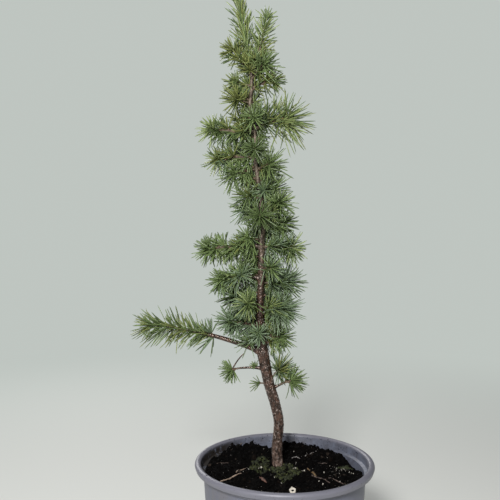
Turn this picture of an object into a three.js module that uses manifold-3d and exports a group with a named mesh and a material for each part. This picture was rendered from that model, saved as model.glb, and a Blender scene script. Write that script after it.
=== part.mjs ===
// A young atlas cedar in a round plastic pot: a crooked trunk, short side shoots that carry tufts of
// needles, and the pot full of soil that it grows in. Millimetres, +Z up, origin under the middle of the pot.
// A compass angle, called turn, runs from +X (the viewer's right) towards +Y (away from the viewer).
import * as THREE from 'three';
import { mergeVertices } from 'three/addons/utils/BufferGeometryUtils.js';
import Module from 'manifold-3d';

const wasm = await Module();
wasm.setup();

// The pot: a rolled rim, a bead under it, a gently tapered wall and a foot with drain holes.
const POT = {
  height: 130,
  rimOuter: 89,
  rimInner: 82.8,
  rimDepth: 6.6,
  rimTuck: 1.2,
  rollSteps: 4,
  beadOuter: 83.4,
  beadDepth: 11,
  beadSlope: 1,
  wallTop: 80.4,
  footRadius: 73,
  wall: 1.7,
  ledgeDepth: 9,
  ledgeTuck: 0.9,
  ledgeDrop: 1.2,
  floor: 4,
  channelInner: 26,
  channelOuter: 56,
  channelDepth: 2,
  corner: 2,
  segments: 36,
};
const DRAIN = { count: 6, radius: 4.5, circle: 41, sides: 12 };

// The soil fills the pot to a little under the rim. It slopes up to the far left, is heaped round the
// trunk, banked up in three mounds by the far wall and lies in low lumps.
const SOIL = {
  level: 117.5,
  relief: 1.6,
  lumps: [
    { height: 1, along: 9.1, across: 7.3, shift: 1.3 },
    { height: 0.6, along: 4.7, across: -6.1, shift: 2.1 },
    { height: 0.9, along: 17, across: 21, shift: 1.6 },
  ],
  calm: 14,
  heap: 3.6,
  heapWidth: 22,
  slope: { along: -0.035, across: 0.045 },
  mounds: [
    { x: -58, y: 44, height: 4, width: 18 },
    { x: -30, y: 66, height: 2.5, width: 12 },
    { x: 20, y: 68, height: 2, width: 13 },
  ],
  rings: 6,
  segments: 28,
};

// Neighbouring pieces keep this gap, and a mass starts this far from its bough's tip.
const CLEAR = 0.3;
const JOIN = 0.4;

// The trunk's course from the soil to its fork: x, y, z and radius of each point.
const TRUNK = [
  [-6.0, 14.0, 117.0, 4.6],
  [-6.8, 14.0, 138.0, 5.2],
  [-5.2, 14.3, 156.5, 5.1],
  [-5.4, 14.6, 167.0, 5.1],
  [-9.2, 15.0, 184.0, 5.3],
  [-14.6, 15.0, 201.6, 5.4],
  [-18.6, 15.0, 220.0, 5.6],
  [-21.6, 14.8, 236.5, 6.1],
  [-22.4, 14.6, 247.0, 4.7],
  [-24.4, 14.5, 272.0, 3.8],
  [-23.6, 15.0, 293.0, 3.5],
  [-22.7, 15.0, 325.0, 3.4],
  [-22.6, 14.5, 350.0, 3.3],
  [-21.7, 14.2, 367.0, 3.0],
  [-23.7, 13.8, 388.0, 2.6],
  [-26.6, 13.4, 410.0, 2.4],
  [-29.0, 13.2, 430.0, 2.2],
  [-29.7, 13.2, 458.0, 2.1],
  [-34.1, 13.5, 478.0, 2.1],
  [-32.7, 13.8, 500.0, 2.0],
  [-33.7, 14.0, 519.5, 1.9],
];
const TRUNK_SIDES = 8;
const TRUNK_STEPS = 40;
const TRUNK_SAMPLES = 240;
const GROUND = 119.5;
const FLARE = { width: 1.6, height: 7 };

// Every shoot: the height where it leaves the trunk, its turn, how far its tip reaches and rises, how far
// its middle is lifted, the bare stretch at its foot (0 where needles grow from the trunk on) and the
// needles' length. Tufts sit from "leafy" on, which is measured from the trunk's middle. "whorls" is the
// stretch before the tip that has needles all round the twig, as the current year's growth has.
const SHOOTS = [
  { name: 'low_right', at: 197, turn: -12, reach: 20, rise: 10, lift: 1, bare: 5, leafy: 15, needle: 16 },
  { name: 'low_left_bud', at: 203, turn: 192, reach: 10, rise: 1, lift: 0, bare: 0, leafy: 9, needle: 9 },
  { name: 'low_right_up', at: 205, turn: 16, reach: 11, rise: 12, lift: 0, bare: 0, leafy: 9, needle: 17 },
  { name: 'low_left', at: 218, turn: 184, reach: 34, rise: 0, lift: 3, bare: 23, leafy: 30, needle: 13 },
  { name: 'long_left', at: 235, turn: 182, reach: 119, rise: 29, lift: 10, bare: 40, leafy: 50, needle: 18,
    whorls: 60 },
  { name: 'left_1', at: 246, turn: 206, reach: 14, rise: 2, lift: 0, bare: 0, leafy: 9, needle: 13 },
  { name: 'right_1', at: 251, turn: -10, reach: 20, rise: 1, lift: 0, bare: 0, leafy: 9, needle: 17 },
  { name: 'front_1', at: 253, turn: 264, reach: 19, rise: 4, lift: 0, bare: 0, leafy: 9, needle: 15 },
  { name: 'back_1', at: 244, turn: 84, reach: 30, rise: 5, lift: 2, bare: 0, leafy: 11, needle: 17 },
  { name: 'left_2', at: 262, turn: 190, reach: 31, rise: 5, lift: 0, bare: 0, leafy: 8, needle: 19 },
  { name: 'back_2', at: 270, turn: 116, reach: 28, rise: 3, lift: 0, bare: 0, leafy: 11, needle: 17 },
  { name: 'right_2', at: 281, turn: -14, reach: 22, rise: -1, lift: 0, bare: 0, leafy: 10, needle: 22 },
  { name: 'left_3', at: 290, turn: 168, reach: 27, rise: 1, lift: 0, bare: 0, leafy: 8, needle: 18 },
  { name: 'front_2', at: 284, turn: 240, reach: 24, rise: 3, lift: 0, bare: 0, leafy: 9, needle: 16 },
  { name: 'back_3', at: 296, turn: 76, reach: 31, rise: 6, lift: 2, bare: 0, leafy: 12, needle: 17 },
  { name: 'right_3', at: 305, turn: 6, reach: 27, rise: 1, lift: 0, bare: 0, leafy: 9, needle: 19 },
  { name: 'left_4', at: 309, turn: 188, reach: 41, rise: -1, lift: 8, bare: 8, leafy: 13, needle: 17 },
  { name: 'front_3', at: 318, turn: 292, reach: 24, rise: 4, lift: 0, bare: 0, leafy: 9, needle: 16 },
  { name: 'back_4', at: 324, turn: 106, reach: 33, rise: 4, lift: 2, bare: 0, leafy: 12, needle: 17 },
  { name: 'right_4', at: 341, turn: -6, reach: 30, rise: 0, lift: 2, bare: 0, leafy: 10, needle: 18 },
  { name: 'left_5', at: 342, turn: 180, reach: 53, rise: -3, lift: 3, bare: 14, leafy: 20, needle: 18 },
  { name: 'left_5_near', at: 348, turn: 202, reach: 15, rise: 3, lift: 0, bare: 0, leafy: 8, needle: 16 },
  { name: 'back_5', at: 352, turn: 68, reach: 27, rise: 5, lift: 2, bare: 0, leafy: 11, needle: 17 },
  { name: 'right_5', at: 363, turn: 10, reach: 21, rise: 2, lift: 0, bare: 0, leafy: 8, needle: 17 },
  { name: 'front_4', at: 369, turn: 262, reach: 20, rise: 4, lift: 0, bare: 0, leafy: 9, needle: 20 },
  { name: 'right_6', at: 371, turn: -34, reach: 20, rise: 15, lift: -2, bare: 0, leafy: 15, needle: 17 },
  { name: 'left_6', at: 378, turn: 164, reach: 16, rise: 2, lift: 0, bare: 0, leafy: 8, needle: 18 },
  { name: 'back_6', at: 386, turn: 98, reach: 26, rise: 5, lift: 0, bare: 0, leafy: 10, needle: 17 },
  { name: 'left_7', at: 389, turn: 196, reach: 13, rise: 3, lift: 0, bare: 0, leafy: 8, needle: 19 },
  { name: 'right_7', at: 394, turn: 10, reach: 13, rise: 5, lift: 0, bare: 0, leafy: 8, needle: 19 },
  { name: 'back_7', at: 412, turn: 64, reach: 23, rise: 5, lift: 0, bare: 0, leafy: 8, needle: 17 },
  { name: 'right_8', at: 419, turn: -24, reach: 14, rise: 4, lift: 0, bare: 0, leafy: 8, needle: 21 },
  { name: 'left_8_low', at: 419, turn: 190, reach: 24, rise: -5, lift: 0, bare: 0, leafy: 13, needle: 18 },
  { name: 'left_8', at: 430, turn: 183, reach: 37, rise: -2, lift: 3, bare: 0, leafy: 9, needle: 17 },
  { name: 'front_5', at: 434, turn: 268, reach: 16, rise: 4, lift: 0, bare: 0, leafy: 8, needle: 17 },
  { name: 'back_8', at: 438, turn: 112, reach: 22, rise: 6, lift: 0, bare: 0, leafy: 8, needle: 17 },
  { name: 'left_9', at: 456, turn: 186, reach: 42, rise: 2, lift: -2, bare: 14, leafy: 18, needle: 16 },
  { name: 'left_9_near', at: 463, turn: 166, reach: 13, rise: 4, lift: 0, bare: 0, leafy: 8, needle: 18 },
  { name: 'right_9', at: 459, turn: -8, reach: 33, rise: 9, lift: 1, bare: 12, leafy: 18, needle: 26 },
  { name: 'front_6', at: 463, turn: 270, reach: 15, rise: 5, lift: 0, bare: 0, leafy: 8, needle: 16 },
  { name: 'back_9', at: 470, turn: 78, reach: 19, rise: 6, lift: 0, bare: 0, leafy: 8, needle: 17 },
  { name: 'left_10', at: 484, turn: 194, reach: 13, rise: 3, lift: 0, bare: 0, leafy: 7, needle: 18 },
  { name: 'back_10', at: 495, turn: 100, reach: 15, rise: 6, lift: 0, bare: 0, leafy: 7, needle: 16 },
  { name: 'right_10', at: 499, turn: -4, reach: 21, rise: 8, lift: 0, bare: 0, leafy: 9, needle: 14 },
  { name: 'left_11', at: 501, turn: 178, reach: 16, rise: 3, lift: 0, bare: 0, leafy: 8, needle: 14 },
  { name: 'right_11', at: 507, turn: -42, reach: 16, rise: 13, lift: 0, bare: 0, leafy: 9, needle: 17 },
  { name: 'left_12', at: 514, turn: 184, reach: 17, rise: 22, lift: -3, bare: 0, leafy: 8, needle: 14 },
  { name: 'second_leader', at: 512, turn: -4, reach: 15, rise: 55, lift: -16, bare: 24, leafy: 30, needle: 15,
    whorls: 32 },
  { name: 'leader', at: 519.5, turn: 182, reach: 11, rise: 60, lift: 0, bare: 0, leafy: 5, needle: 16,
    whorls: 60 },
];
const SHOOT_RADIUS = { foot: 1.2, perReach: 0.016, tip: 0.8 };
const BOUGH = { sides: 6, step: 8, samples: 30 };
const STEM = { sides: 3, step: 14 };

// Tufts sit on short spurs round their shoot. Each is a small bud whose faces run out into needles.
const TUFT = { bud: 2, spur: 2.2, lean: 32, spacing: 8.5, spread: 112, sideSpread: 98, sideSize: 0.9 };
const WHORL = { bud: 1.5, pitch: 5.6, spread: 90 };
const NEEDLE = { sway: 0.4, jitter: 0.18, baseShare: 0.45 };
const TRIED_LENGTHS = [1, 0.85, 0.7, 0.5];
const TESTED_SHARES = [0.35, 0.55, 0.7, 0.85, 1];
const HOME_STEP = 3;
const GOLDEN_TURN = Math.PI * (3 - Math.sqrt(5));
const UP = new THREE.Vector3(0, 0, 1);

const MATERIALS = {
  plastic: new THREE.MeshStandardMaterial({ color: 0x8b8b9c, roughness: 0.45, metalness: 0 }),
  soil: new THREE.MeshStandardMaterial({ color: 0x1b1714, roughness: 0.95, metalness: 0 }),
  bark: new THREE.MeshStandardMaterial({ color: 0x5d4438, roughness: 0.8, metalness: 0 }),
  needles: new THREE.MeshStandardMaterial({ color: 0x55763f, roughness: 0.6, metalness: 0 }),
};

// Seeded random numbers from 0 to 1, by the minimal standard generator.
function randomFrom(seed) {
  let state = seed;
  return () => {
    state = (state * 48271) % 2147483647;
    return state / 2147483647;
  };
}

// A closed geometry as a solid: only positions are kept, shared vertices merge, collapsed faces drop out.
function solidOf(geometry) {
  const bare = geometry.clone();
  bare.deleteAttribute('normal');
  bare.deleteAttribute('uv');
  const merged = mergeVertices(bare, 1e-4);
  const corners = merged.index.array;
  const faces = [];
  for (let i = 0; i < corners.length; i += 3) {
    const [a, b, c] = corners.slice(i, i + 3);
    if (a !== b && b !== c && a !== c) faces.push(a, b, c);
  }
  return new wasm.Manifold(new wasm.Mesh({
    numProp: 3,
    vertProperties: new Float32Array(merged.attributes.position.array),
    triVerts: new Uint32Array(faces),
  }));
}

// A named mesh of a solid. A scrap that a cut left loose is dropped.
function meshOf(name, solid, material) {
  const [largest] = solid.decompose().sort((a, b) => b.volume() - a.volume());
  const { vertProperties, triVerts } = largest.getMesh();
  const geometry = new THREE.BufferGeometry();
  geometry.setAttribute('position', new THREE.BufferAttribute(new Float32Array(vertProperties), 3));
  geometry.setIndex(new THREE.BufferAttribute(new Uint32Array(triVerts), 1));
  geometry.computeVertexNormals();
  const mesh = new THREE.Mesh(geometry, material);
  mesh.name = name;
  return mesh;
}

// A profile of radius and height turned round the upright axis.
function turned(profile, segments) {
  const points = profile.map(([radius, height]) => new THREE.Vector2(radius, height));
  return new THREE.LatheGeometry(points, segments).rotateX(Math.PI / 2);
}

// A tapering limb: a cylinder whose rings are moved onto a curve. radiusAt takes the share of the length.
function limb(curve, radiusAt, sides, steps) {
  const tube = new THREE.CylinderGeometry(1, 1, 1, sides, steps);
  const { normals, binormals } = curve.computeFrenetFrames(steps, false);
  const places = tube.getAttribute('position');
  for (let i = 0; i < places.count; i += 1) {
    const share = places.getY(i) + 0.5;
    const ring = Math.round(share * steps);
    const radius = radiusAt(share);
    const place = curve.getPointAt(share)
      .addScaledVector(normals[ring], places.getX(i) * radius)
      .addScaledVector(binormals[ring], -places.getZ(i) * radius);
    places.setXYZ(i, place.x, place.y, place.z);
  }
  return tube;
}

// Part of a curve, from one share of its length to another.
class Stretch extends THREE.Curve {
  constructor(whole, from, to) {
    super();
    Object.assign(this, { whole, from, to });
  }

  getPoint(share, target = new THREE.Vector3()) {
    return this.whole.getPointAt(this.from + (this.to - this.from) * share, target);
  }
}

function pointsAlong(curve, count) {
  return Array.from({ length: count + 1 }, (_, i) => curve.getPointAt(i / count));
}

function nearest(points, place) {
  return Math.min(...points.map((point) => point.distanceTo(place)));
}

const trunkCurve = new THREE.CatmullRomCurve3(
  TRUNK.map(([x, y, z]) => new THREE.Vector3(x, y, z)), false, 'catmullrom', 0.5);

// The point of the trunk's middle line at a height.
function trunkPointAt(height) {
  const points = pointsAlong(trunkCurve, TRUNK_SAMPLES);
  const next = points.slice(1, -1).filter((point) => point.z < height).length + 1;
  const [low, high] = [points[next - 1], points[next]];
  return low.clone().lerp(high, (height - low.z) / (high.z - low.z));
}

// The trunk's radius at a height: straight between the points of its course, with a flare at the soil.
function trunkRadius(height) {
  const next = TRUNK.slice(1, -1).filter((point) => point[2] < height).length + 1;
  const [low, high] = [TRUNK[next - 1], TRUNK[next]];
  const share = THREE.MathUtils.clamp((height - low[2]) / (high[2] - low[2]), 0, 1);
  const flare = FLARE.width * Math.exp(-(height - GROUND) / FLARE.height);
  return THREE.MathUtils.lerp(low[3], high[3], share) + flare;
}

// The trunk, or one grown thicker by a margin to cut its neighbours clear of it. Its foot is cut level.
function trunkSolid(grown) {
  const radiusAt = (share) => trunkRadius(trunkCurve.getPointAt(share).z) + grown;
  const side = 6 * TRUNK[0][3];
  const under = new THREE.BoxGeometry(side, side, side);
  under.translate(TRUNK[0][0], TRUNK[0][1], GROUND - grown - side / 2);
  return solidOf(limb(trunkCurve, radiusAt, TRUNK_SIDES, TRUNK_STEPS)).subtract(solidOf(under));
}

// The height of the soil over its level, at a point of the pot. "inside" is 1, and falls to 0 at the wall.
function soilHeight(x, y, inside) {
  const bell = (from, width) => Math.exp(-((Math.hypot(x - from.x, y - from.y) / width) ** 2));
  const trunkFoot = { x: TRUNK[0][0], y: TRUNK[0][1] };
  const lumps = SOIL.lumps.reduce((sum, { height, along, across, shift }) => (
    sum + height * Math.sin(x / along + y / across + shift)), 0);
  const mounds = SOIL.mounds.reduce((sum, mound) => sum + mound.height * bell(mound, mound.width), 0);
  const relief = SOIL.relief * lumps * (1 - bell(trunkFoot, SOIL.calm))
    + SOIL.heap * bell(trunkFoot, SOIL.heapWidth) + mounds;
  return SOIL.slope.along * x + SOIL.slope.across * y + relief * inside;
}

function potProfile() {
  const { height, rimOuter, rimInner, rimDepth, wallTop, footRadius, wall, floor } = POT;
  const rimMiddle = (rimOuter + rimInner) / 2;
  const rimHalf = (rimOuter - rimInner) / 2;
  const roll = [];
  for (let i = 0; i <= POT.rollSteps; i += 1) {
    const angle = (Math.PI * i) / POT.rollSteps;
    roll.push([rimMiddle + rimHalf * Math.cos(angle), height - rimHalf + rimHalf * Math.sin(angle)]);
  }
  const ledge = height - POT.ledgeDepth;
  return [
    [0, 0],
    [POT.channelInner, 0],
    [POT.channelInner + POT.corner, POT.channelDepth],
    [POT.channelOuter - POT.corner, POT.channelDepth],
    [POT.channelOuter, 0],
    [footRadius - POT.corner, 0],
    [footRadius, POT.corner],
    [wallTop, height - POT.beadDepth],
    [POT.beadOuter, height - POT.beadDepth + POT.beadSlope],
    [POT.beadOuter, height - rimDepth],
    [rimOuter - POT.rimTuck, height - rimDepth],
    ...roll,
    [rimInner - POT.ledgeTuck, ledge],
    [wallTop - wall, ledge - POT.ledgeDrop],
    [footRadius - wall, floor + POT.corner],
    [footRadius - wall - POT.corner, floor],
    [0, floor],
  ];
}

// The pot with its drain holes.
function potSolid() {
  let pot = solidOf(turned(potProfile(), POT.segments));
  for (let i = 0; i < DRAIN.count; i += 1) {
    const turn = (2 * Math.PI * i) / DRAIN.count;
    const hole = new THREE.CylinderGeometry(DRAIN.radius, DRAIN.radius, 3 * POT.floor, DRAIN.sides);
    hole.rotateX(Math.PI / 2).translate(DRAIN.circle * Math.cos(turn), DRAIN.circle * Math.sin(turn), 0);
    pot = pot.subtract(solidOf(hole));
  }
  return pot;
}

// The inside radius of the pot's wall under its ledge, at a height over the floor.
function potInside(height) {
  const share = (height - POT.floor) / (POT.height - POT.ledgeDepth - POT.floor);
  return THREE.MathUtils.lerp(POT.footRadius, POT.wallTop, share) - POT.wall;
}

// The soil, clear of the pot and of the trunk's foot, which stands in a shallow pocket.
function soilSolid() {
  const bottom = POT.floor + CLEAR;
  const brim = potInside(SOIL.level) - 2 * CLEAR;
  const low = potInside(bottom + POT.corner) - 2 * CLEAR;
  const profile = [[0, bottom], [low - POT.corner, bottom], [low, bottom + POT.corner], [brim, SOIL.level]];
  for (let i = SOIL.rings - 1; i >= 0; i -= 1) profile.push([(brim * i) / SOIL.rings, SOIL.level]);
  const shape = turned(profile, SOIL.segments);
  const places = shape.getAttribute('position');
  for (let i = 0; i < places.count; i += 1) {
    const [x, y, z] = [places.getX(i), places.getY(i), places.getZ(i)];
    const inside = 1 - Math.min(1, Math.hypot(x, y) / brim) ** 12;
    if (z > SOIL.level - 1) places.setZ(i, z + soilHeight(x, y, inside));
  }
  return solidOf(shape).subtract(trunkSolid(CLEAR));
}

// A shoot's axis: one bend from the trunk's middle to its tip.
function shootCurve(shoot) {
  const foot = trunkPointAt(shoot.at);
  const turn = THREE.MathUtils.degToRad(shoot.turn);
  const out = new THREE.Vector3(Math.cos(turn), Math.sin(turn), 0).multiplyScalar(shoot.reach);
  const tip = foot.clone().add(out).setZ(foot.z + shoot.rise);
  const middle = foot.clone().lerp(tip, 0.5);
  middle.z += shoot.lift;
  return new THREE.QuadraticBezierCurve3(foot, middle, tip);
}

function shootRadius(shoot, share) {
  const foot = SHOOT_RADIUS.foot + SHOOT_RADIUS.perReach * shoot.reach;
  return THREE.MathUtils.lerp(foot, SHOOT_RADIUS.tip, share);
}

// A unit vector at an angle from an axis, turned round it.
function leaning(axis, angle, round) {
  const side = UP.clone().cross(axis);
  if (side.lengthSq() < 1e-6) side.set(1, 0, 0);
  side.normalize().applyAxisAngle(axis, round);
  return axis.clone().multiplyScalar(Math.cos(angle)).addScaledVector(side, Math.sin(angle));
}

// Where a shoot's tufts sit, which way each one faces and how long its needles are: one at the tip and more
// behind it in a spiral. Where the twig has whorls, it has no tuft but the one at its tip.
function tuftsOf(shoot, curve, random) {
  const tufts = [];
  const length = curve.getLength();
  let round = random() * 2 * Math.PI;
  for (let place = length; place > shoot.leafy; place -= TUFT.spacing) {
    const atTip = place === length;
    if (!atTip && length - place < (shoot.whorls ?? 0)) continue;
    const along = curve.getTangentAt(place / length);
    const facing = atTip ? along : leaning(along, THREE.MathUtils.degToRad(90 - TUFT.lean), round);
    const middle = curve.getPointAt(place / length).addScaledVector(facing, atTip ? 0 : TUFT.spur);
    const needle = shoot.needle * (atTip ? 1 : TUFT.sideSize);
    const spread = atTip ? TUFT.spread : TUFT.sideSpread;
    tufts.push({ middle, facing, needle, spread, radius: TUFT.bud, shape: new THREE.IcosahedronGeometry(1) });
    round += GOLDEN_TURN;
  }
  return tufts;
}

// The whorls of a shoot's outer stretch. Each has four needles that lean forward.
function whorlsOf(shoot, curve) {
  const whorls = [];
  const length = curve.getLength();
  for (let back = WHORL.pitch; back < (shoot.whorls ?? 0); back += WHORL.pitch) {
    const facing = curve.getTangentAt(1 - back / length);
    const middle = curve.getPointAt(1 - back / length);
    const { bud: radius, spread } = WHORL;
    const shape = new THREE.OctahedronGeometry(1);
    whorls.push({ middle, facing, needle: shoot.needle, spread, radius, shape });
  }
  return whorls;
}

// A tuft's body: a bud whose faces on the open side each run out to a needle's tip. roomFor gives the share
// of a needle's length that there is room for.
function tuftSolid({ middle, facing, needle, spread, radius, shape }, random, roomFor) {
  const turn = new THREE.Quaternion().setFromUnitVectors(UP, facing)
    .multiply(new THREE.Quaternion().setFromAxisAngle(UP, random() * 2 * Math.PI));
  const open = Math.cos(THREE.MathUtils.degToRad(spread));
  const corners = shape.getAttribute('position');
  const faces = [];
  for (let i = 0; i < corners.count; i += 3) {
    const [a, b, c] = [0, 1, 2].map((k) => new THREE.Vector3().fromBufferAttribute(corners, i + k)
      .applyQuaternion(turn).multiplyScalar(radius));
    const direction = a.clone().add(b).add(c).normalize();
    const runsOut = direction.dot(facing) > open;
    const sway = new THREE.Vector3(random() - 0.5, random() - 0.5, random() - 0.5);
    direction.addScaledVector(sway, NEEDLE.sway).normalize();
    const length = needle * (1 - NEEDLE.jitter * random());
    const share = runsOut ? roomFor(middle, direction, length, radius * NEEDLE.baseShare) : 0;
    const tip = direction.multiplyScalar(length * share);
    if (share > 0) faces.push(a, b, tip, b, c, tip, c, a, tip);
    else faces.push(a, b, c);
  }
  const body = new THREE.BufferGeometry().setFromPoints(faces.map((corner) => corner.clone().add(middle)));
  return solidOf(body);
}

// A shoot's course and tufts, before they are made solid. "home" is what its own space lies round.
function grow(shoot, index) {
  const random = randomFrom(7919 * (index + 3));
  random();
  const curve = shootCurve(shoot);
  const length = curve.getLength();
  const bareShare = shoot.bare ? (shoot.bare + trunkRadius(shoot.at)) / length : 0;
  const loose = shoot.bare > 0 || shoot.name === 'leader';
  const stemShare = loose ? bareShare + JOIN / length : 0;
  const homeShare = Math.max(bareShare, (trunkRadius(shoot.at) + 1) / length);
  const stem = new Stretch(curve, stemShare, 1);
  const tufts = [...tuftsOf(shoot, curve, random), ...whorlsOf(shoot, curve)];
  const along = pointsAlong(new Stretch(curve, homeShare, 1), Math.ceil(length / HOME_STEP));
  const home = [...along, ...tufts.map((tuft) => tuft.middle)];
  return { shoot, curve, stem, stemShare, bareShare, loose, tufts, home, random };
}

// Tells what share of a needle stays in its shoot's own space and clear of every limb.
function roomIn(mass, masses, limbs) {
  const { home, shoot } = mass;
  const near = 2 * (shoot.needle + TUFT.bud);
  const others = masses.filter((other) => (
    other !== mass && other.home.some((place) => nearest(home, place) < near)));
  const fits = (middle, direction, length, base) => TESTED_SHARES.every((share) => {
    const place = middle.clone().addScaledVector(direction, length * share);
    const radius = base * (1 - share);
    const limit = nearest(home, place) + 2 * radius + CLEAR;
    return others.every((other) => nearest(other.home, place) > limit)
      && limbs.every((bar) => !bar.touches(place, radius + CLEAR));
  });
  return (middle, direction, length, base) => (
    TRIED_LENGTHS.find((share) => fits(middle, direction, length * share, base)) ?? 0);
}

// A mass of foliage: the shoot's stem and its tufts, in one body.
function massSolid(mass, masses, limbs, grownTrunk) {
  const { shoot, stem, stemShare, tufts, random } = mass;
  const radiusAt = (share) => shootRadius(shoot, stemShare + (1 - stemShare) * share);
  const steps = Math.max(2, Math.round(stem.getLength() / STEM.step));
  const roomFor = roomIn(mass, masses, limbs);
  let solid = solidOf(limb(stem, radiusAt, STEM.sides, steps));
  for (const tuft of tufts) solid = solid.add(tuftSolid(tuft, random, roomFor));
  return mass.loose ? solid : solid.subtract(grownTrunk);
}

// A limb as the needles meet it: its middle line and its thickness.
function bar(curve, radiusAt, count) {
  const line = pointsAlong(curve, count);
  const radii = line.map((_, i) => radiusAt(i / count));
  return { touches: (place, room) => line.some((point, i) => point.distanceTo(place) < radii[i] + room) };
}

const cedar = new THREE.Group();
cedar.name = 'atlas_cedar_in_pot';
const grownTrunk = trunkSolid(CLEAR);
const masses = SHOOTS.map(grow);
const limbs = [bar(trunkCurve, (share) => trunkRadius(trunkCurve.getPointAt(share).z), TRUNK_SAMPLES)];

cedar.add(meshOf('pot', potSolid(), MATERIALS.plastic));
cedar.add(meshOf('soil', soilSolid(), MATERIALS.soil));
cedar.add(meshOf('trunk', trunkSolid(0), MATERIALS.bark));

for (const { shoot, curve, bareShare } of masses.filter((mass) => mass.shoot.bare)) {
  const bough = new Stretch(curve, 0, bareShare);
  const radiusAt = (share) => shootRadius(shoot, bareShare * share);
  const steps = Math.max(3, Math.round(bough.getLength() / BOUGH.step));
  limbs.push(bar(bough, radiusAt, BOUGH.samples));
  const solid = solidOf(limb(bough, radiusAt, BOUGH.sides, steps)).subtract(grownTrunk);
  cedar.add(meshOf(`${shoot.name}_bough`, solid, MATERIALS.bark));
}

for (const mass of masses) {
  const solid = massSolid(mass, masses, limbs, grownTrunk);
  cedar.add(meshOf(`${mass.shoot.name}_needles`, solid, MATERIALS.needles));
}

export default cedar;
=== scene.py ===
# A young atlas cedar in a round plastic pot: bark, twigs, needles, soil, moss and plastic, made round the
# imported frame. Sizes are in millimetres, as in the part's source. MM turns them into metres.
# A compass angle, called turn, runs from +X (the viewer's right) towards +Y (away from the viewer).
import math

import bpy
import numpy as np
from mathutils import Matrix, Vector, noise


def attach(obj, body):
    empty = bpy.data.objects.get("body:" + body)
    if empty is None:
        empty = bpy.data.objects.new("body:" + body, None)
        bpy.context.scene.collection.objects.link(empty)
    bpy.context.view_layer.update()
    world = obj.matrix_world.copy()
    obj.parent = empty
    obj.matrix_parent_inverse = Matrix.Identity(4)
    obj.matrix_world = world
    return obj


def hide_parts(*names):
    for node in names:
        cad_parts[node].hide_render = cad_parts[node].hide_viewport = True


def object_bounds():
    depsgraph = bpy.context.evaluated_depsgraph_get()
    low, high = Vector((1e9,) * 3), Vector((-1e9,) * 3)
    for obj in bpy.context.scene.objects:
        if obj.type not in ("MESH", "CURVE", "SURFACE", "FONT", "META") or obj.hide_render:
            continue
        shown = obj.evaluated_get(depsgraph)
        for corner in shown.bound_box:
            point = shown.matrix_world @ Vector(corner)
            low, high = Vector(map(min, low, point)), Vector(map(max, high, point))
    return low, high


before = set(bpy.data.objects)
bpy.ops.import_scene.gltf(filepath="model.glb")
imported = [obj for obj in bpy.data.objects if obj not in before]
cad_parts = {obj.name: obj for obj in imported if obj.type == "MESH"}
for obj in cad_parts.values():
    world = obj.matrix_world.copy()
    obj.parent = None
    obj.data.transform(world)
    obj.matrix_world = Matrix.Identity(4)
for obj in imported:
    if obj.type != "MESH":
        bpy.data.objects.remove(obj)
cad_low, cad_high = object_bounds()

MM = 0.001
GOLDEN_TURN = math.pi * (3 - math.sqrt(5))

# The camera of the photograph, whose frame is 500 px wide: metres, radians and the lens in pixels.
CAMERA = {"place": (-0.0342, -0.6973, 0.3739), "pitch": 0.05, "focal_px": 711.1, "width_px": 500}
SENSOR = 36.0

# The trunk's course from the soil to its fork: x, y, z and radius of each point.
TRUNK = np.array([
    [-6.0, 14.0, 117.0, 4.6],
    [-6.8, 14.0, 138.0, 5.2],
    [-5.2, 14.3, 156.5, 5.1],
    [-5.4, 14.6, 167.0, 5.1],
    [-9.2, 15.0, 184.0, 5.3],
    [-14.6, 15.0, 201.6, 5.4],
    [-18.6, 15.0, 220.0, 5.6],
    [-21.6, 14.8, 236.5, 6.1],
    [-22.4, 14.6, 247.0, 4.7],
    [-24.4, 14.5, 272.0, 3.8],
    [-23.6, 15.0, 293.0, 3.5],
    [-22.7, 15.0, 325.0, 3.4],
    [-22.6, 14.5, 350.0, 3.3],
    [-21.7, 14.2, 367.0, 3.0],
    [-23.7, 13.8, 388.0, 2.6],
    [-26.6, 13.4, 410.0, 2.4],
    [-29.0, 13.2, 430.0, 2.2],
    [-29.7, 13.2, 458.0, 2.1],
    [-34.1, 13.5, 478.0, 2.1],
    [-32.7, 13.8, 500.0, 2.0],
    [-33.7, 14.0, 519.5, 1.9],
])
GROUND = 119.5
FLARE = {"width": 1.6, "height": 7, "most": 2.24}
TRUNK_SAMPLES = 240
BOUGH_SAMPLES = 16

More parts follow.
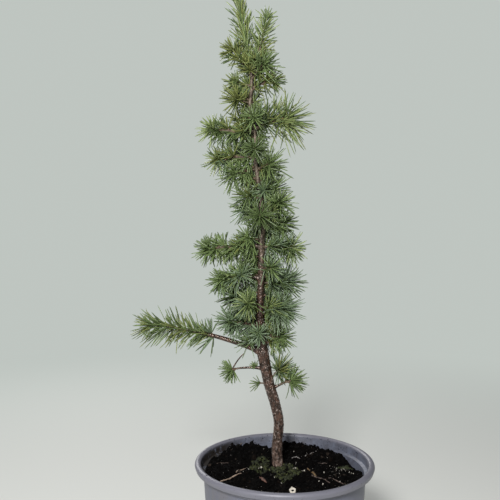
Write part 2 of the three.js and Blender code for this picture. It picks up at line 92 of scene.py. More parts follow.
# Every shoot as in the source: the height where it leaves the trunk, its turn, how far its tip reaches and
# rises, how far its middle is lifted, the bare stretch at its foot, where its tufts start, the needles'
# length, and the stretch before its tip that has needles all round.
SHOOT_FIELDS = ("name", "at", "turn", "reach", "rise", "lift", "bare", "leafy", "needle", "whorls")
SHOOTS = [dict(zip(SHOOT_FIELDS, row)) for row in (
    ("low_right", 197, -12, 20, 10, 1, 5, 15, 16, 0),
    ("low_left_bud", 203, 192, 10, 1, 0, 0, 9, 9, 0),
    ("low_right_up", 205, 16, 11, 12, 0, 0, 9, 17, 0),
    ("low_left", 218, 184, 34, 0, 3, 23, 30, 13, 0),
    ("long_left", 235, 182, 119, 29, 10, 40, 50, 18, 60),
    ("left_1", 246, 206, 14, 2, 0, 0, 9, 13, 0),
    ("right_1", 251, -10, 20, 1, 0, 0, 9, 17, 0),
    ("front_1", 253, 264, 19, 4, 0, 0, 9, 15, 0),
    ("back_1", 244, 84, 30, 5, 2, 0, 11, 17, 0),
    ("left_2", 262, 190, 31, 5, 0, 0, 8, 19, 0),
    ("back_2", 270, 116, 28, 3, 0, 0, 11, 17, 0),
    ("right_2", 281, -14, 22, -1, 0, 0, 10, 22, 0),
    ("left_3", 290, 168, 27, 1, 0, 0, 8, 18, 0),
    ("front_2", 284, 240, 24, 3, 0, 0, 9, 16, 0),
    ("back_3", 296, 76, 31, 6, 2, 0, 12, 17, 0),
    ("right_3", 305, 6, 27, 1, 0, 0, 9, 19, 0),
    ("left_4", 309, 188, 41, -1, 8, 8, 13, 17, 0),
    ("front_3", 318, 292, 24, 4, 0, 0, 9, 16, 0),
    ("back_4", 324, 106, 33, 4, 2, 0, 12, 17, 0),
    ("right_4", 341, -6, 30, 0, 2, 0, 10, 18, 0),
    ("left_5", 342, 180, 53, -3, 3, 14, 20, 18, 0),
    ("left_5_near", 348, 202, 15, 3, 0, 0, 8, 16, 0),
    ("back_5", 352, 68, 27, 5, 2, 0, 11, 17, 0),
    ("right_5", 363, 10, 21, 2, 0, 0, 8, 17, 0),
    ("front_4", 369, 262, 20, 4, 0, 0, 9, 20, 0),
    ("right_6", 371, -34, 20, 15, -2, 0, 15, 17, 0),
    ("left_6", 378, 164, 16, 2, 0, 0, 8, 18, 0),
    ("back_6", 386, 98, 26, 5, 0, 0, 10, 17, 0),
    ("left_7", 389, 196, 13, 3, 0, 0, 8, 19, 0),
    ("right_7", 394, 10, 13, 5, 0, 0, 8, 19, 0),
    ("back_7", 412, 64, 23, 5, 0, 0, 8, 17, 0),
    ("right_8", 419, -24, 14, 4, 0, 0, 8, 21, 0),
    ("left_8_low", 419, 190, 24, -5, 0, 0, 13, 18, 0),
    ("left_8", 430, 183, 37, -2, 3, 0, 9, 17, 0),
    ("front_5", 434, 268, 16, 4, 0, 0, 8, 17, 0),
    ("back_8", 438, 112, 22, 6, 0, 0, 8, 17, 0),
    ("left_9", 456, 186, 42, 2, -2, 14, 18, 16, 0),
    ("left_9_near", 463, 166, 13, 4, 0, 0, 8, 18, 0),
    ("right_9", 459, -8, 33, 9, 1, 12, 18, 26, 0),
    ("front_6", 463, 270, 15, 5, 0, 0, 8, 16, 0),
    ("back_9", 470, 78, 19, 6, 0, 0, 8, 17, 0),
    ("left_10", 484, 194, 13, 3, 0, 0, 7, 18, 0),
    ("back_10", 495, 100, 15, 6, 0, 0, 7, 16, 0),
    ("right_10", 499, -4, 21, 8, 0, 0, 9, 14, 0),
    ("left_11", 501, 178, 16, 3, 0, 0, 8, 14, 0),
    ("right_11", 507, -42, 16, 13, 0, 0, 9, 17, 0),
    ("left_12", 514, 184, 17, 22, -3, 0, 8, 14, 0),
    ("second_leader", 512, -4, 15, 55, -16, 24, 30, 15, 32),
    ("leader", 519.5, 182, 11, 60, 0, 0, 5, 16, 60),
)]
SHOOT_RADIUS = {"foot": 1.2, "per_reach": 0.016, "tip": 0.8}
# Twigs that are covered from their foot are slimmer than the source's stems.
SLIM_TWIG = 0.75
# These end before the source's, and their longer needles reach as far.
ENDS = {"long_left": 0.94, "low_left_bud": 0.93}

# The source's tufts: the spur under each, the way from one to the next, and how far their needles spread.
TUFT = {"spur": 2.2, "spacing": 8.5, "spread": 112}
# Carried on from the source's rule: each of its tufts has many fine needles, and shorter, finer tufts stand
# between each two of them. Tufts at the sides also lean out along their twig.
FINE = {"per_gap": 3, "size": 0.92, "tip": 40, "side": 28, "between": 20, "inner": 3.5, "lean": 50,
        "spread": 60}
# These boughs are bare in sight, so the rule puts no tuft before the source's first one.
KEPT_BARE = ("low_right", "low_left", "long_left")
# Needles all round an outer stretch: how many to a millimetre, the first one's way back from the tip, how far
# they lean out at three such ways on upright and on level shoots, the share that the tuft at the tip has of
# its usual needles, the stretch at the tip where they are short, how their lengths vary, and where they start
# on the shoot's radius.
FINE_WHORLS = {"per_mm": 3.4, "first": 0.5, "back": (0, 6, 20), "upright": (14, 27, 40),
               "level": (22, 42, 56), "sway": 0.16, "tip_tuft": 0.5, "short": 12, "longest": 1.04,
               "jitter": 1.5, "base": 0.6}
# The shoots with such needles: the needles' size at the tip, how much wider than the rule they stand, and the
# shares of the tints, in their order.
ALL_ROUND = {
    "long_left": {"tip": 0.9, "wider": 1.05, "tints": (0.5, 0.2, 0.0, 0.15, 0.15)},
    "leader": {"tip": 0.85, "wider": 0.95, "tints": (0.25, 0.0, 0.0, 0.35, 0.4)},
    "second_leader": {"tip": 0.72, "wider": 1.4, "tints": (0.25, 0.0, 0.0, 0.35, 0.4)},
}
# They stand in loose groups along the twig, which differ in lean and length, and in runs of one tint.
GROUPS = {"pitch": 6.5, "pull": 0.75, "lean": 0.16, "longer": 0.12, "range": (-0.25, 0.15), "most": 40,
          "run": 6}
# Needles hang a little: how far their directions sink, and how much longer the lower ones are.
DROOP = {"sink": 0.1, "longer": 0.12}
# The crown is thinner towards its top: heights, and the share of the needles there.
THINNER = ((370, 420), (0.95, 0.72))
# A tuft with fewer needles than this shows no spur.
FEWEST = 7
NEEDLE = {"width": 1.34, "widths": (0.85, 1.1), "flat": 0.8, "longer": 1.19, "jitter": 0.32, "sway": 0.13,
          "bend": 0.05, "lift": 0.02, "base": 0.5, "least": 2}
NEEDLE_FIELDS = ("starts", "ways", "lengths", "tints")
# Shoots that differ from the rule in sight: how much longer and more numerous their needles are, how far
# the needles spread at the tip, and their tint where it isn't by chance.
USUAL = (1.0, 1.0, TUFT["spread"], None)
HABITS = {
    "leader": (1.1, 0.8, 50, None),
    "second_leader": (1.06, 0.78, 85, None),
    "long_left": (1.18, 1.1, 75, None),
    "low_left_bud": (1.25, 0.32, 62, "green"),
    "low_left": (1.02, 0.95, 84, "green"),
    "low_right": (1.1, 0.95, 58, "green"),
    "low_right_up": (1.15, 1.5, 140, "olive"),
    "front_1": (0.78, 0.6, 100, "blue"),
    "front_3": (0.92, 0.7, 105, "blue"),
    "front_4": (0.88, 0.75, 105, "deep"),
    "front_5": (0.8, 0.8, 112, "deep"),
    "front_6": (0.9, 0.8, 112, "green"),
    "left_1": (1.3, 1.2, 112, None),
    "left_2": (1.0, 1.0, 112, "blue"),
    "left_3": (1.0, 1.0, 112, "deep"),
    "left_4": (0.93, 1.0, 112, None),
    "left_5": (0.9, 1.1, 105, "green"),
    "left_6": (1.0, 1.0, 112, "blue"),
    "left_8_low": (1.0, 1.0, 112, "green"),
    "left_8": (0.94, 1.1, 105, None),
    "left_9": (1.0, 1.1, 105, None),
    "left_10": (1.22, 1.2, 112, None),
    "right_2": (1.08, 1.5, 115, "blue"),
    "right_3": (1.08, 1.2, 112, "blue"),
    "right_7": (1.1, 1.1, 112, None),
    "right_8": (1.06, 1.0, 118, "green"),
    "right_9": (1.2, 0.95, 118, None),
    "right_10": (1.1, 1.0, 112, None),
    "right_11": (1.16, 0.72, 84, "green"),
    "left_12": (1.1, 1.1, 105, None),
}
# Rosettes that sit on the trunk itself, in a spiral that leaves its front open. They turn up near its top.
SPURS = {"low": 243, "high": 521, "step": 2.3, "needle": 16, "spread": 98, "lift": ((485, 508), (0.3, 1.5)),
         "front": 270, "open": 76, "closed_above": 508}
# The bark shows through the front of the crown: only these shoots' needles and a few others cross it.
FRONT = {"shoots": ("front_1", "front_4", "front_5", "front_6", "low_left_bud", "left_7", "right_7"),
         "margin": 1.0, "crossing": 0.2, "below": 511}
# Few needles of the crown hang over the long left bough or just under it.
CLEAR_BOUGH = {"name": "long_left", "above": 3.5, "under": 13}
# Tufts that stand out on their bough, at a share of its length.
LONE_TUFTS = {
    "low_left": {
        "share": 0.28, "spur": 2.2, "facing": (-0.5, -0.35, 0.8), "needle": 9, "spread": 80, "count": 16,
        "tint": "green",
    },
    "left_4": {
        "share": 0.45, "spur": 7, "facing": (-0.12, -0.95, 0.3), "needle": 19, "spread": 92, "count": 38,
        "tint": "blue",
    },
    "right_7": {
        "share": 0.25, "spur": 6, "facing": (0.1, -0.93, 0.35), "needle": 17, "spread": 95, "count": 36,
        "tint": "blue",
    },
}
# The bare twiglet at the tip of the low left bough.
TWIGLET = {"way": (0.58, -0.1, 0.81), "length": 20, "radius": 0.85, "taper": 0.25, "bow": 1.5, "points": 12}
# The form of a needle: its sides, and its widths at these shares of its length.
NEEDLE_SIDES = 4
NEEDLE_SHARES = np.array([0.0, 0.1, 0.55, 0.9])
NEEDLE_WIDTHS = np.array([0.55, 0.9, 1.0, 0.72])
# A needle is tested at these shares, keeps this far from the bark, and is shortened up to three times.
TESTED_SHARES = np.array([0.35, 0.6, 0.85, 1.0])
CLEAR = 0.3
SHORTENED = (0.72, 0.72, 0.0)

# The needles' tints, as linear base colours. A spray has one tint, but for its dark needles.
TINTS = {
    "green": (0.127, 0.178, 0.063),
    "deep": (0.080, 0.115, 0.040),
    "blue": (0.136, 0.188, 0.104),
    "fresh": (0.196, 0.246, 0.088),
    "olive": (0.160, 0.184, 0.055),
}
TINT = {tint: number for number, tint in enumerate(TINTS)}
# The share of each spray's needles that are dark, and how many sprays keep to their shoot's tint.
SHADED = 0.2
SETTLED = 0.86
# The chance that a spray is young: what a long bough's tip, from this share of its length on, and two heights
# add to it.
YOUNG = {"least": 0.13, "tip": 0.3, "long": 30, "out": 0.98, "heights": ((480, 0.35), (400, 0.33))}
# The shares of the older sprays' tints.
OLDER = {"green": 0.5, "deep": 0.22, "blue": 0.28}

# The joined needle pieces, from the soil up. Each takes the shoots that leave the trunk under its height.
ZONES = (("low", 225), ("long_left", 240), ("lower", 315), ("middle", 380), ("upper", 450), ("top", 600))


def unit(vectors):
    """Vectors at length one."""
    return vectors / np.linalg.norm(vectors, axis=-1, keepdims=True)


def circle(sides):
    """The cosines and sines of even turns round a circle."""
    turns = 2 * np.pi * np.arange(sides) / sides
    return np.cos(turns), np.sin(turns)


def minimal_standard(seed):
    """Seeded random numbers from 0 to 1, by the generator that the source uses."""
    state = seed
    while True:
        state = (state * 48271) % 2147483647
        yield state / 2147483647


class Curve:
    """A curve that is read by the share of its length."""

    def __init__(self, point, divisions=200):
        self.point = point
        self.shares = np.linspace(0, 1, divisions + 1)
        steps = np.linalg.norm(np.diff(point(self.shares), axis=0), axis=1)
        self.lengths = np.concatenate([[0], np.cumsum(steps)])
        self.length = self.lengths[-1]

    def at(self, share):
        """The points at shares of the length."""
        share = np.atleast_1d(share)
        return self.point(np.interp(share * self.length, self.lengths, self.shares))

    def along(self, share):
        """The directions at shares of the length."""
        step = 1e-3
        share = np.atleast_1d(share)
        return unit(self.at(np.minimum(share + step, 1)) - self.at(np.maximum(share - step, 0)))


def trunk_course(share):
    """The trunk's middle line: a smooth curve through the points of its course."""
    points = TRUNK[:, :3]
    before = 2 * points[0] - points[1]
    after = 2 * points[-1] - points[-2]
    padded = np.vstack([before, points, after])
    place = np.clip(share, 0, 1) * (len(points) - 1)
    start = np.minimum(place.astype(int), len(points) - 2)
    part = (place - start)[:, None]
    p0, p1, p2, p3 = (padded[start + k] for k in range(4))
    t1 = 0.5 * (p2 - p0)
    t2 = 0.5 * (p3 - p1)
    square = 3 * (p2 - p1) - 2 * t1 - t2
    cube = 2 * (p1 - p2) + t1 + t2
    return p1 + t1 * part + square * part**2 + cube * part**3


trunk_curve = Curve(trunk_course)
trunk_line = trunk_curve.at(np.linspace(0, 1, TRUNK_SAMPLES + 1))


def trunk_point(height):
    """The points of the trunk's middle line at one or more heights."""
    return np.stack([np.interp(height, trunk_line[:, 2], trunk_line[:, axis]) for axis in range(3)], axis=-1)


def trunk_radius(height):
    """The trunk's radius at a height, with a flare at the soil."""
    flare = FLARE["width"] * np.exp(-(height - GROUND) / FLARE["height"])
    return np.interp(height, TRUNK[:, 2], TRUNK[:, 3]) + np.minimum(flare, FLARE["most"])


def shoot_curve(shoot):
    """A shoot's axis: one bend from the trunk's middle to its tip."""
    foot = trunk_point(shoot["at"])
    turn = math.radians(shoot["turn"])
    tip = foot + np.array([shoot["reach"] * math.cos(turn), shoot["reach"] * math.sin(turn), shoot["rise"]])
    middle = (foot + tip) / 2 + np.array([0, 0, shoot["lift"]])
    end = ENDS.get(shoot["name"], 1)

    def point(share):
        share = (share * end)[:, None]
        return (1 - share) ** 2 * foot + 2 * share * (1 - share) * middle + share**2 * tip

    return Curve(point)


def shoot_radius(shoot, share):
    """A shoot's radius, which tapers towards its tip."""
    foot = SHOOT_RADIUS["foot"] + SHOOT_RADIUS["per_reach"] * shoot["reach"]
    return foot + (SHOOT_RADIUS["tip"] - foot) * share


def leaning(axis, angle, around):
    """A unit vector at an angle from an axis, turned round it."""
    side = np.cross([0.0, 0.0, 1.0], axis)
    if side @ side < 1e-6:
        side = np.array([1.0, 0.0, 0.0])
    side = unit(side)
    side = side * math.cos(around) + np.cross(axis, side) * math.sin(around)
    return axis * math.cos(angle) + side * math.sin(angle)


def tuft_on(foot, facing, spur, **more):
    """A tuft at the end of a spur."""
    return {"foot": foot, "middle": foot + facing * spur, "facing": facing, **more}


def tufts_of(shoot, curve, random):
    """The source's tufts of one shoot, with finer ones between them."""
    tufts = []
    around = next(random) * 2 * math.pi
    fine_around = around + math.pi / 2
    longer, denser, tip_spread, _ = HABITS.get(shoot["name"], USUAL)
    needle = shoot["needle"] * NEEDLE["longer"] * longer
    denser *= np.interp(shoot["at"], *THINNER)
    tip_size = ALL_ROUND[shoot["name"]]["tip"] if shoot["whorls"] else 1
    inner = shoot["leafy"] if shoot["name"] in KEPT_BARE else trunk_radius(shoot["at"]) + FINE["inner"]
    place, count = curve.length, 0
    while place > inner:
        out = place / curve.length
        from_source = count % FINE["per_gap"] == 0
        if count == 0:
            number = FINE["tip"] * denser * (FINE_WHORLS["tip_tuft"] if shoot["whorls"] else 1)
            tufts.append(tuft_on(curve.at(out)[0], curve.along(out)[0], 0, needle=needle * tip_size,
                                 spread=tip_spread, count=round(number), out=out))
        elif curve.length - place >= shoot["whorls"]:
            turn = around if from_source else fine_around
            facing = leaning(curve.along(out)[0], math.radians(FINE["lean"]), turn)
            size, number = (1, FINE["side"]) if from_source else (FINE["size"], FINE["between"])
            tufts.append(tuft_on(curve.at(out)[0], facing, TUFT["spur"], needle=needle * size,
                                 spread=FINE["spread"], count=round(number * denser), out=out))
        if from_source:
            around += GOLDEN_TURN
        fine_around += GOLDEN_TURN
        place -= TUFT["spacing"] / FINE["per_gap"]
        count += 1
    if shoot["name"] in LONE_TUFTS:
        lone = LONE_TUFTS[shoot["name"]]
        foot, facing = curve.at(lone["share"])[0], unit(np.array(lone["facing"]))
        tufts.append({**lone, **tuft_on(foot, facing, lone["spur"], out=lone["share"])})
    return tufts


def cap_directions(facing, spread, count, rng):
    """Directions spread evenly over a cap round a facing, each swayed a little."""
    order = np.arange(count) + 0.5
    height = 1 - order / count * (1 - math.cos(math.radians(spread)))
    around = order * GOLDEN_TURN + rng.uniform(0, 2 * math.pi)
    across = np.sqrt(np.maximum(0, 1 - height**2))
    side = leaning(facing, math.pi / 2, 0.0)
    even = np.outer(height, facing) + np.outer(across * np.cos(around), side)
    even += np.outer(across * np.sin(around), np.cross(facing, side))
    return unit(even + rng.normal(0, NEEDLE["sway"], even.shape))


def tint_of(shoot, tuft, rng):
    """Older sprays near the trunk are bluish, and the young tips are yellow-green."""
    settled = tuft.get("tint", HABITS.get(shoot["name"], USUAL)[3])
    if settled and rng.random() < SETTLED:
        return TINT[settled]
    young = YOUNG["least"] + YOUNG["tip"] * (tuft["out"] > YOUNG["out"] and shoot["reach"] > YOUNG["long"])
    young += sum(more for height, more in YOUNG["heights"] if shoot["at"] > height)
    if rng.random() < young:
        return TINT["fresh" if rng.random() < 0.5 else "olive"]
    return TINT[rng.choice(list(OLDER), p=list(OLDER.values()))]


def needles_of(shoot, tufts, rng):
    """The fields of some tufts' needles: where each starts, which way it goes, its length and its tint."""
    fields, first = [], 0
    for tuft in tufts:
        ways = cap_directions(tuft["facing"], tuft["spread"], tuft["count"], rng)
        tuft["needles"] = slice(first, first + len(ways))
        first += len(ways)
        lengths = tuft["needle"] * (1 - NEEDLE["jitter"] * rng.random(len(ways)))
        shaded = rng.random(len(ways)) < SHADED
        tints = np.where(shaded, TINT["deep"], tint_of(shoot, tuft, rng))
        fields.append((tuft["middle"] + ways * NEEDLE["base"], ways, lengths, tints))
    return dict(zip(NEEDLE_FIELDS, map(np.concatenate, zip(*fields))))


def whorl_needles(shoot, curve, rng):
    """The fields of the needles all round a shoot's outer stretch."""
    habit = ALL_ROUND[shoot["name"]]
    longer, denser, _, _ = HABITS[shoot["name"]]
    count = int(shoot["whorls"] * FINE_WHORLS["per_mm"] * denser)
    back = np.linspace(FINE_WHORLS["first"], shoot["whorls"], count)
    back += GROUPS["pull"] * np.sin(2 * math.pi * back / GROUPS["pitch"])
    group = (back / GROUPS["pitch"]).astype(int)
    share = np.clip(1 - back / curve.length, 0, 1)
    leans = FINE_WHORLS["upright" if shoot["rise"] > shoot["reach"] else "level"]
    lean = np.radians(np.interp(back, FINE_WHORLS["back"], leans)) * habit["wider"]
    lean += rng.normal(0, FINE_WHORLS["sway"], count) + rng.normal(0, GROUPS["lean"], GROUPS["most"])[group]
    around = np.arange(count) * GOLDEN_TURN
    ways = np.array([leaning(*each) for each in zip(curve.along(share), lean, around)])
    longest = shoot["needle"] * NEEDLE["longer"] * longer
    shorter = FINE_WHORLS["jitter"] * NEEDLE["jitter"] * rng.random(count)
    lengths = longest * (FINE_WHORLS["longest"] - shorter)
    lengths *= np.interp(back, [0, FINE_WHORLS["short"]], [habit["tip"], 1])
    lengths *= 1 + np.clip(rng.normal(0, GROUPS["longer"], GROUPS["most"])[group], *GROUPS["range"])
    tints = rng.choice(len(TINTS), count // GROUPS["run"] + 1, p=habit["tints"])
    tints = np.where(rng.random(count) < SHADED, TINT["deep"], np.repeat(tints, GROUPS["run"])[:count])
    starts = curve.at(share) + ways * shoot_radius(shoot, share)[:, None] * FINE_WHORLS["base"]
    return dict(zip(NEEDLE_FIELDS, (starts, ways, lengths, tints)))


def grow(index, shoot):
    """A shoot with its curve, its tufts and its needles."""
    random = minimal_standard(7919 * (index + 3))
    next(random)
    rng = np.random.default_rng(1000 + index)
    curve = shoot_curve(shoot)
    tufts = tufts_of(shoot, curve, random)
    needles = needles_of(shoot, tufts, rng)
    if shoot["whorls"]:
        more = whorl_needles(shoot, curve, rng)
        needles = {field: np.concatenate([needles[field], more[field]]) for field in NEEDLE_FIELDS}
    if shoot["rise"] < shoot["reach"]:
        needles["lengths"] *= 1 - DROOP["longer"] * needles["ways"][:, 2]
        needles["ways"] = unit(needles["ways"] - [0, 0, DROOP["sink"]])
    return {"shoot": shoot, "curve": curve, "tufts": tufts, **needles}


def trunk_rosettes():
    """Rosettes on the trunk itself. Its open front shows the bark."""
    rng = np.random.default_rng(77)
    for order, height in enumerate(np.arange(SPURS["low"], SPURS["high"], SPURS["step"])):
        turn = order * GOLDEN_TURN
        off_front = (math.degrees(turn) - SPURS["front"] + 180) % 360 - 180
        if abs(off_front) < SPURS["open"] and height < SPURS["closed_above"]:
            continue
        facing = unit(np.array([math.cos(turn), math.sin(turn), np.interp(height, *SPURS["lift"])]))
        foot = trunk_point(height) + facing * trunk_radius(height)
        tufts = [tuft_on(foot, facing, TUFT["spur"], needle=SPURS["needle"], spread=SPURS["spread"],
                         count=FINE["side"], out=0)]
        shoot = {"name": "trunk", "at": height, "reach": 0}
        yield {"shoot": shoot, "tufts": tufts, **needles_of(shoot, tufts, rng)}


def crosses_front(points):
    """Whether each needle, given by points along it, passes in front of the trunk."""
    x, y, heights = np.moveaxis(points, -1, 0)
    middle = trunk_point(heights)
    near = np.abs(x - middle[..., 0]) < trunk_radius(heights) + FRONT["margin"]
    return (near & (y < middle[..., 1]) & (heights < FRONT["below"])).any(axis=1)


def hangs_over_bough(points):
    """Whether each needle, given by points along it, hangs over the long left bough or just under it."""
    x, _, heights = np.moveaxis(points, -1, 0)
    over = heights - np.interp(x, clear_line[::-1, 0], clear_line[::-1, 2])
    beside = (x > clear_line[-1, 0]) & (x < clear_line[0, 0] - trunk_radius(clear_line[0, 2]))
    return (beside & (over < CLEAR_BOUGH["above"]) & (over > -CLEAR_BOUGH["under"])).any(axis=1)


def fitted(plant):
    """Shortens needles that would reach the trunk or a bough, cross the trunk's front or leave the box."""
    starts, ways, lengths, _ = (plant[field] for field in NEEDLE_FIELDS)
    low, high = np.array([cad_low, cad_high]) / MM
    crossing = np.random.default_rng(len(lengths)).random(len(lengths)) < FRONT["crossing"]
    crossing |= plant["shoot"]["name"] in FRONT["shoots"]
    for factor in SHORTENED:
        points = starts[:, None] + ways[:, None] * (lengths[:, None] * TESTED_SHARES)[:, :, None]
        gaps = np.linalg.norm(points[:, :, None] - limb_points, axis=-1) - limb_radii - CLEAR
        bad = (gaps.min(axis=2) < 0).any(axis=1)
        bad |= ((points[:, -1] < low) | (points[:, -1] > high)).any(axis=1)
        bad |= crosses_front(points) & ~crossing
        if plant["shoot"]["name"] != CLEAR_BOUGH["name"]:
            bad |= hangs_over_bough(points) & ~crossing
        lengths = np.where(bad, lengths * factor, lengths)
    plant["lengths"] = lengths
    return plant


# Parts of a mesh: each is corners, sets of faces of one size each, and a material number for every face.

def ring_quads(rings, sides):
    """Quads between rings of corners that follow each other."""
    a = np.arange((rings - 1) * sides)
    b = a + 1 - sides * (a % sides == sides - 1)
    return np.stack([a, b, b + sides, a + sides], axis=1)


def fan(first, sides, tip):
    """Triangles between a ring of corners, from its first one on, and a tip."""
    k = np.arange(sides)
    return np.stack([first + k, first + (k + 1) % sides, np.full(sides, tip)], axis=1)


def closed(rings, ends):
    """A closed part: rings of corners, and a corner beyond the first and the last of them."""
    sides, tip = len(rings[0]), len(rings) * len(rings[0])
    tris = np.vstack([fan(0, sides, tip)[:, [1, 0, 2]], fan(tip - sides, sides, tip + 1)])
    faces = [ring_quads(len(rings), sides), tris]
    return np.vstack([*rings, ends]), faces, np.zeros(sum(map(len, faces)), int)


def level_ring(radius, height, sides):
    """A ring of corners round the pot's axis."""
    x, y = circle(sides)
    return np.stack([radius * x, radius * y, np.full(sides, height)], axis=1)


# How far a tube's first and last cap point out, as shares of its radius there.
CAPS = (0.5, 0.8)


def tube(line, radii, sides):
    """A closed tube round a line of points, with a pointed cap at each end."""
    along = unit(np.gradient(line, axis=0))
    side = np.cross(along[0], [0.0, 0.0, 1.0] if abs(along[0][2]) < 0.9 else [1.0, 0.0, 0.0])
    x, y = circle(sides)
    rings = []
    for place, way, radius in zip(line, along, radii):
        side = unit(side - way * (side @ way))
        rings.append(place + np.outer(x * radius, side) + np.outer(y * radius, np.cross(way, side)))
    first = line[0] - along[0] * np.mean(radii[0]) * CAPS[0]
    last = line[-1] + along[-1] * np.mean(radii[-1]) * CAPS[1]
    return closed(rings, [first, last])


def copies(corners, *face_sets):
    """Many small meshes with the same faces as one part."""
    first = corners.shape[1] * np.arange(len(corners))[:, None, None]
    faces = [(faces + first).reshape(-1, faces.shape[1]) for faces in face_sets]
    return corners.reshape(-1, 3), faces, np.zeros(sum(map(len, faces)), int)


def needle_mesh(plant):
    """Many needles as one part: slim, four-sided, pointed and a little bent."""
    keep = plant["lengths"] > NEEDLE["least"]
    starts, ways, lengths, tints = (plant[field][keep] for field in NEEDLE_FIELDS)
    rng = np.random.default_rng(len(starts))
    helper = np.where(np.abs(ways[:, 2:3]) < 0.9, [[0.0, 0.0, 1.0]], [[1.0, 0.0, 0.0]])
    side = unit(np.cross(ways, helper))
    other = np.cross(ways, side)
    roll = rng.uniform(0, math.pi, len(starts))[:, None]
    side, other = side * np.cos(roll) + other * np.sin(roll), other * np.cos(roll) - side * np.sin(roll)
    bend = other * rng.normal(0, NEEDLE["bend"], len(starts))[:, None] + [0, 0, NEEDLE["lift"]]
    half = NEEDLE["width"] / 2 * rng.uniform(*NEEDLE["widths"], len(starts))[:, None, None, None]
    x, y = circle(NEEDLE_SIDES)
    ring = side[:, None] * x[:, None] + other[:, None] * (y * NEEDLE["flat"])[:, None]
    line = starts[:, None] + ways[:, None] * lengths[:, None, None] * NEEDLE_SHARES[:, None]
    line += bend[:, None] * lengths[:, None, None] * NEEDLE_SHARES[:, None] ** 2
    rings = line[:, :, None] + ring[:, None] * NEEDLE_WIDTHS[:, None, None] * half
    tips = starts + ways * lengths[:, None] + bend * lengths[:, None]
    corners = np.concatenate([rings.reshape(len(starts), -1, 3), tips[:, None]], axis=1)
    tip = corners.shape[1] - 1
    quads = np.vstack([ring_quads(len(NEEDLE_SHARES), NEEDLE_SIDES), np.arange(NEEDLE_SIDES)[::-1]])
    tris = fan(tip - NEEDLE_SIDES, NEEDLE_SIDES, tip)
    corners, faces, _ = copies(corners, quads, tris)
    return corners, faces, np.concatenate([np.repeat(tints, len(quads)), np.repeat(tints, len(tris))])


def joined(parts):
    """Several parts as one."""
    corners, face_sets, slots, start = [], {}, {}, 0
    for part_corners, part_faces, part_slots in parts:
        at = 0
        for faces in part_faces:
            face_sets.setdefault(faces.shape[1], []).append(faces + start)
            slots.setdefault(faces.shape[1], []).append(part_slots[at:at + len(faces)])
            at += len(faces)
        corners.append(part_corners)
        start += len(part_corners)
    sizes = sorted(face_sets)
    faces = [np.concatenate(face_sets[size]) for size in sizes]
    return np.vstack(corners), faces, np.concatenate([np.concatenate(slots[size]) for size in sizes])


def placed(name, data):
    """A new object of some data, in the scene."""
    made = bpy.data.objects.new(name, data)
    bpy.context.scene.collection.objects.link(made)
    return made


def piece(name, part, materials, smooth=True):
    """A named object of a part, whose corners are in millimetres."""
    corners, face_sets, slots = part
    loops = np.concatenate([faces.ravel() for faces in face_sets])
    sizes = np.concatenate([np.full(len(faces), faces.shape[1]) for faces in face_sets])
    mesh = bpy.data.meshes.new(name)
    mesh.vertices.add(len(corners))
    mesh.vertices.foreach_set("co", (corners * MM).astype(np.float32).ravel())
    mesh.loops.add(len(loops))
    mesh.loops.foreach_set("vertex_index", loops.astype(np.int32))
    mesh.polygons.add(len(sizes))
    mesh.polygons.foreach_set("loop_start", (np.cumsum(sizes) - sizes).astype(np.int32))
    for material in materials:
        mesh.materials.append(material)
    mesh.polygons.foreach_set("material_index", slots.astype(np.int32))
    mesh.polygons.foreach_set("use_smooth", np.full(len(sizes), smooth))
    mesh.update(calc_edges=True)
    mesh.validate()
    return placed(name, mesh)


def worked_out(rough, name, material):
    """A new piece: a rough one's mesh with its modifiers worked out. The rough one is removed."""
    mesh = bpy.data.meshes.new_from_object(rough.evaluated_get(bpy.context.evaluated_depsgraph_get()))
    bpy.data.objects.remove(rough)
    mesh.name = name
    mesh.materials.clear()
    mesh.materials.append(material)
    mesh.polygons.foreach_set("use_smooth", np.ones(len(mesh.polygons), bool))
    return placed(name, mesh)


def read(mesh, field):
    """A field of a mesh's corners, such as their places."""
    values = np.empty(len(mesh.vertices) * 3, np.float32)
    mesh.vertices.foreach_get(field, values)
    return values.reshape(-1, 3).astype(float)


def rounded(made, width, angle=30):
    """Rounds the edges of a piece that are sharper than an angle."""
    edges = made.modifiers.new("edges", "BEVEL")
    edges.width = width * MM
    edges.segments = 2
    edges.angle_limit = math.radians(angle)


def settle(made, slot, *replaced):
    """Puts a piece on the one body; the slot is not used. It may take the place of nodes of the frame."""
    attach(made, "root")
    if replaced:
        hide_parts(*replaced)


# Materials.

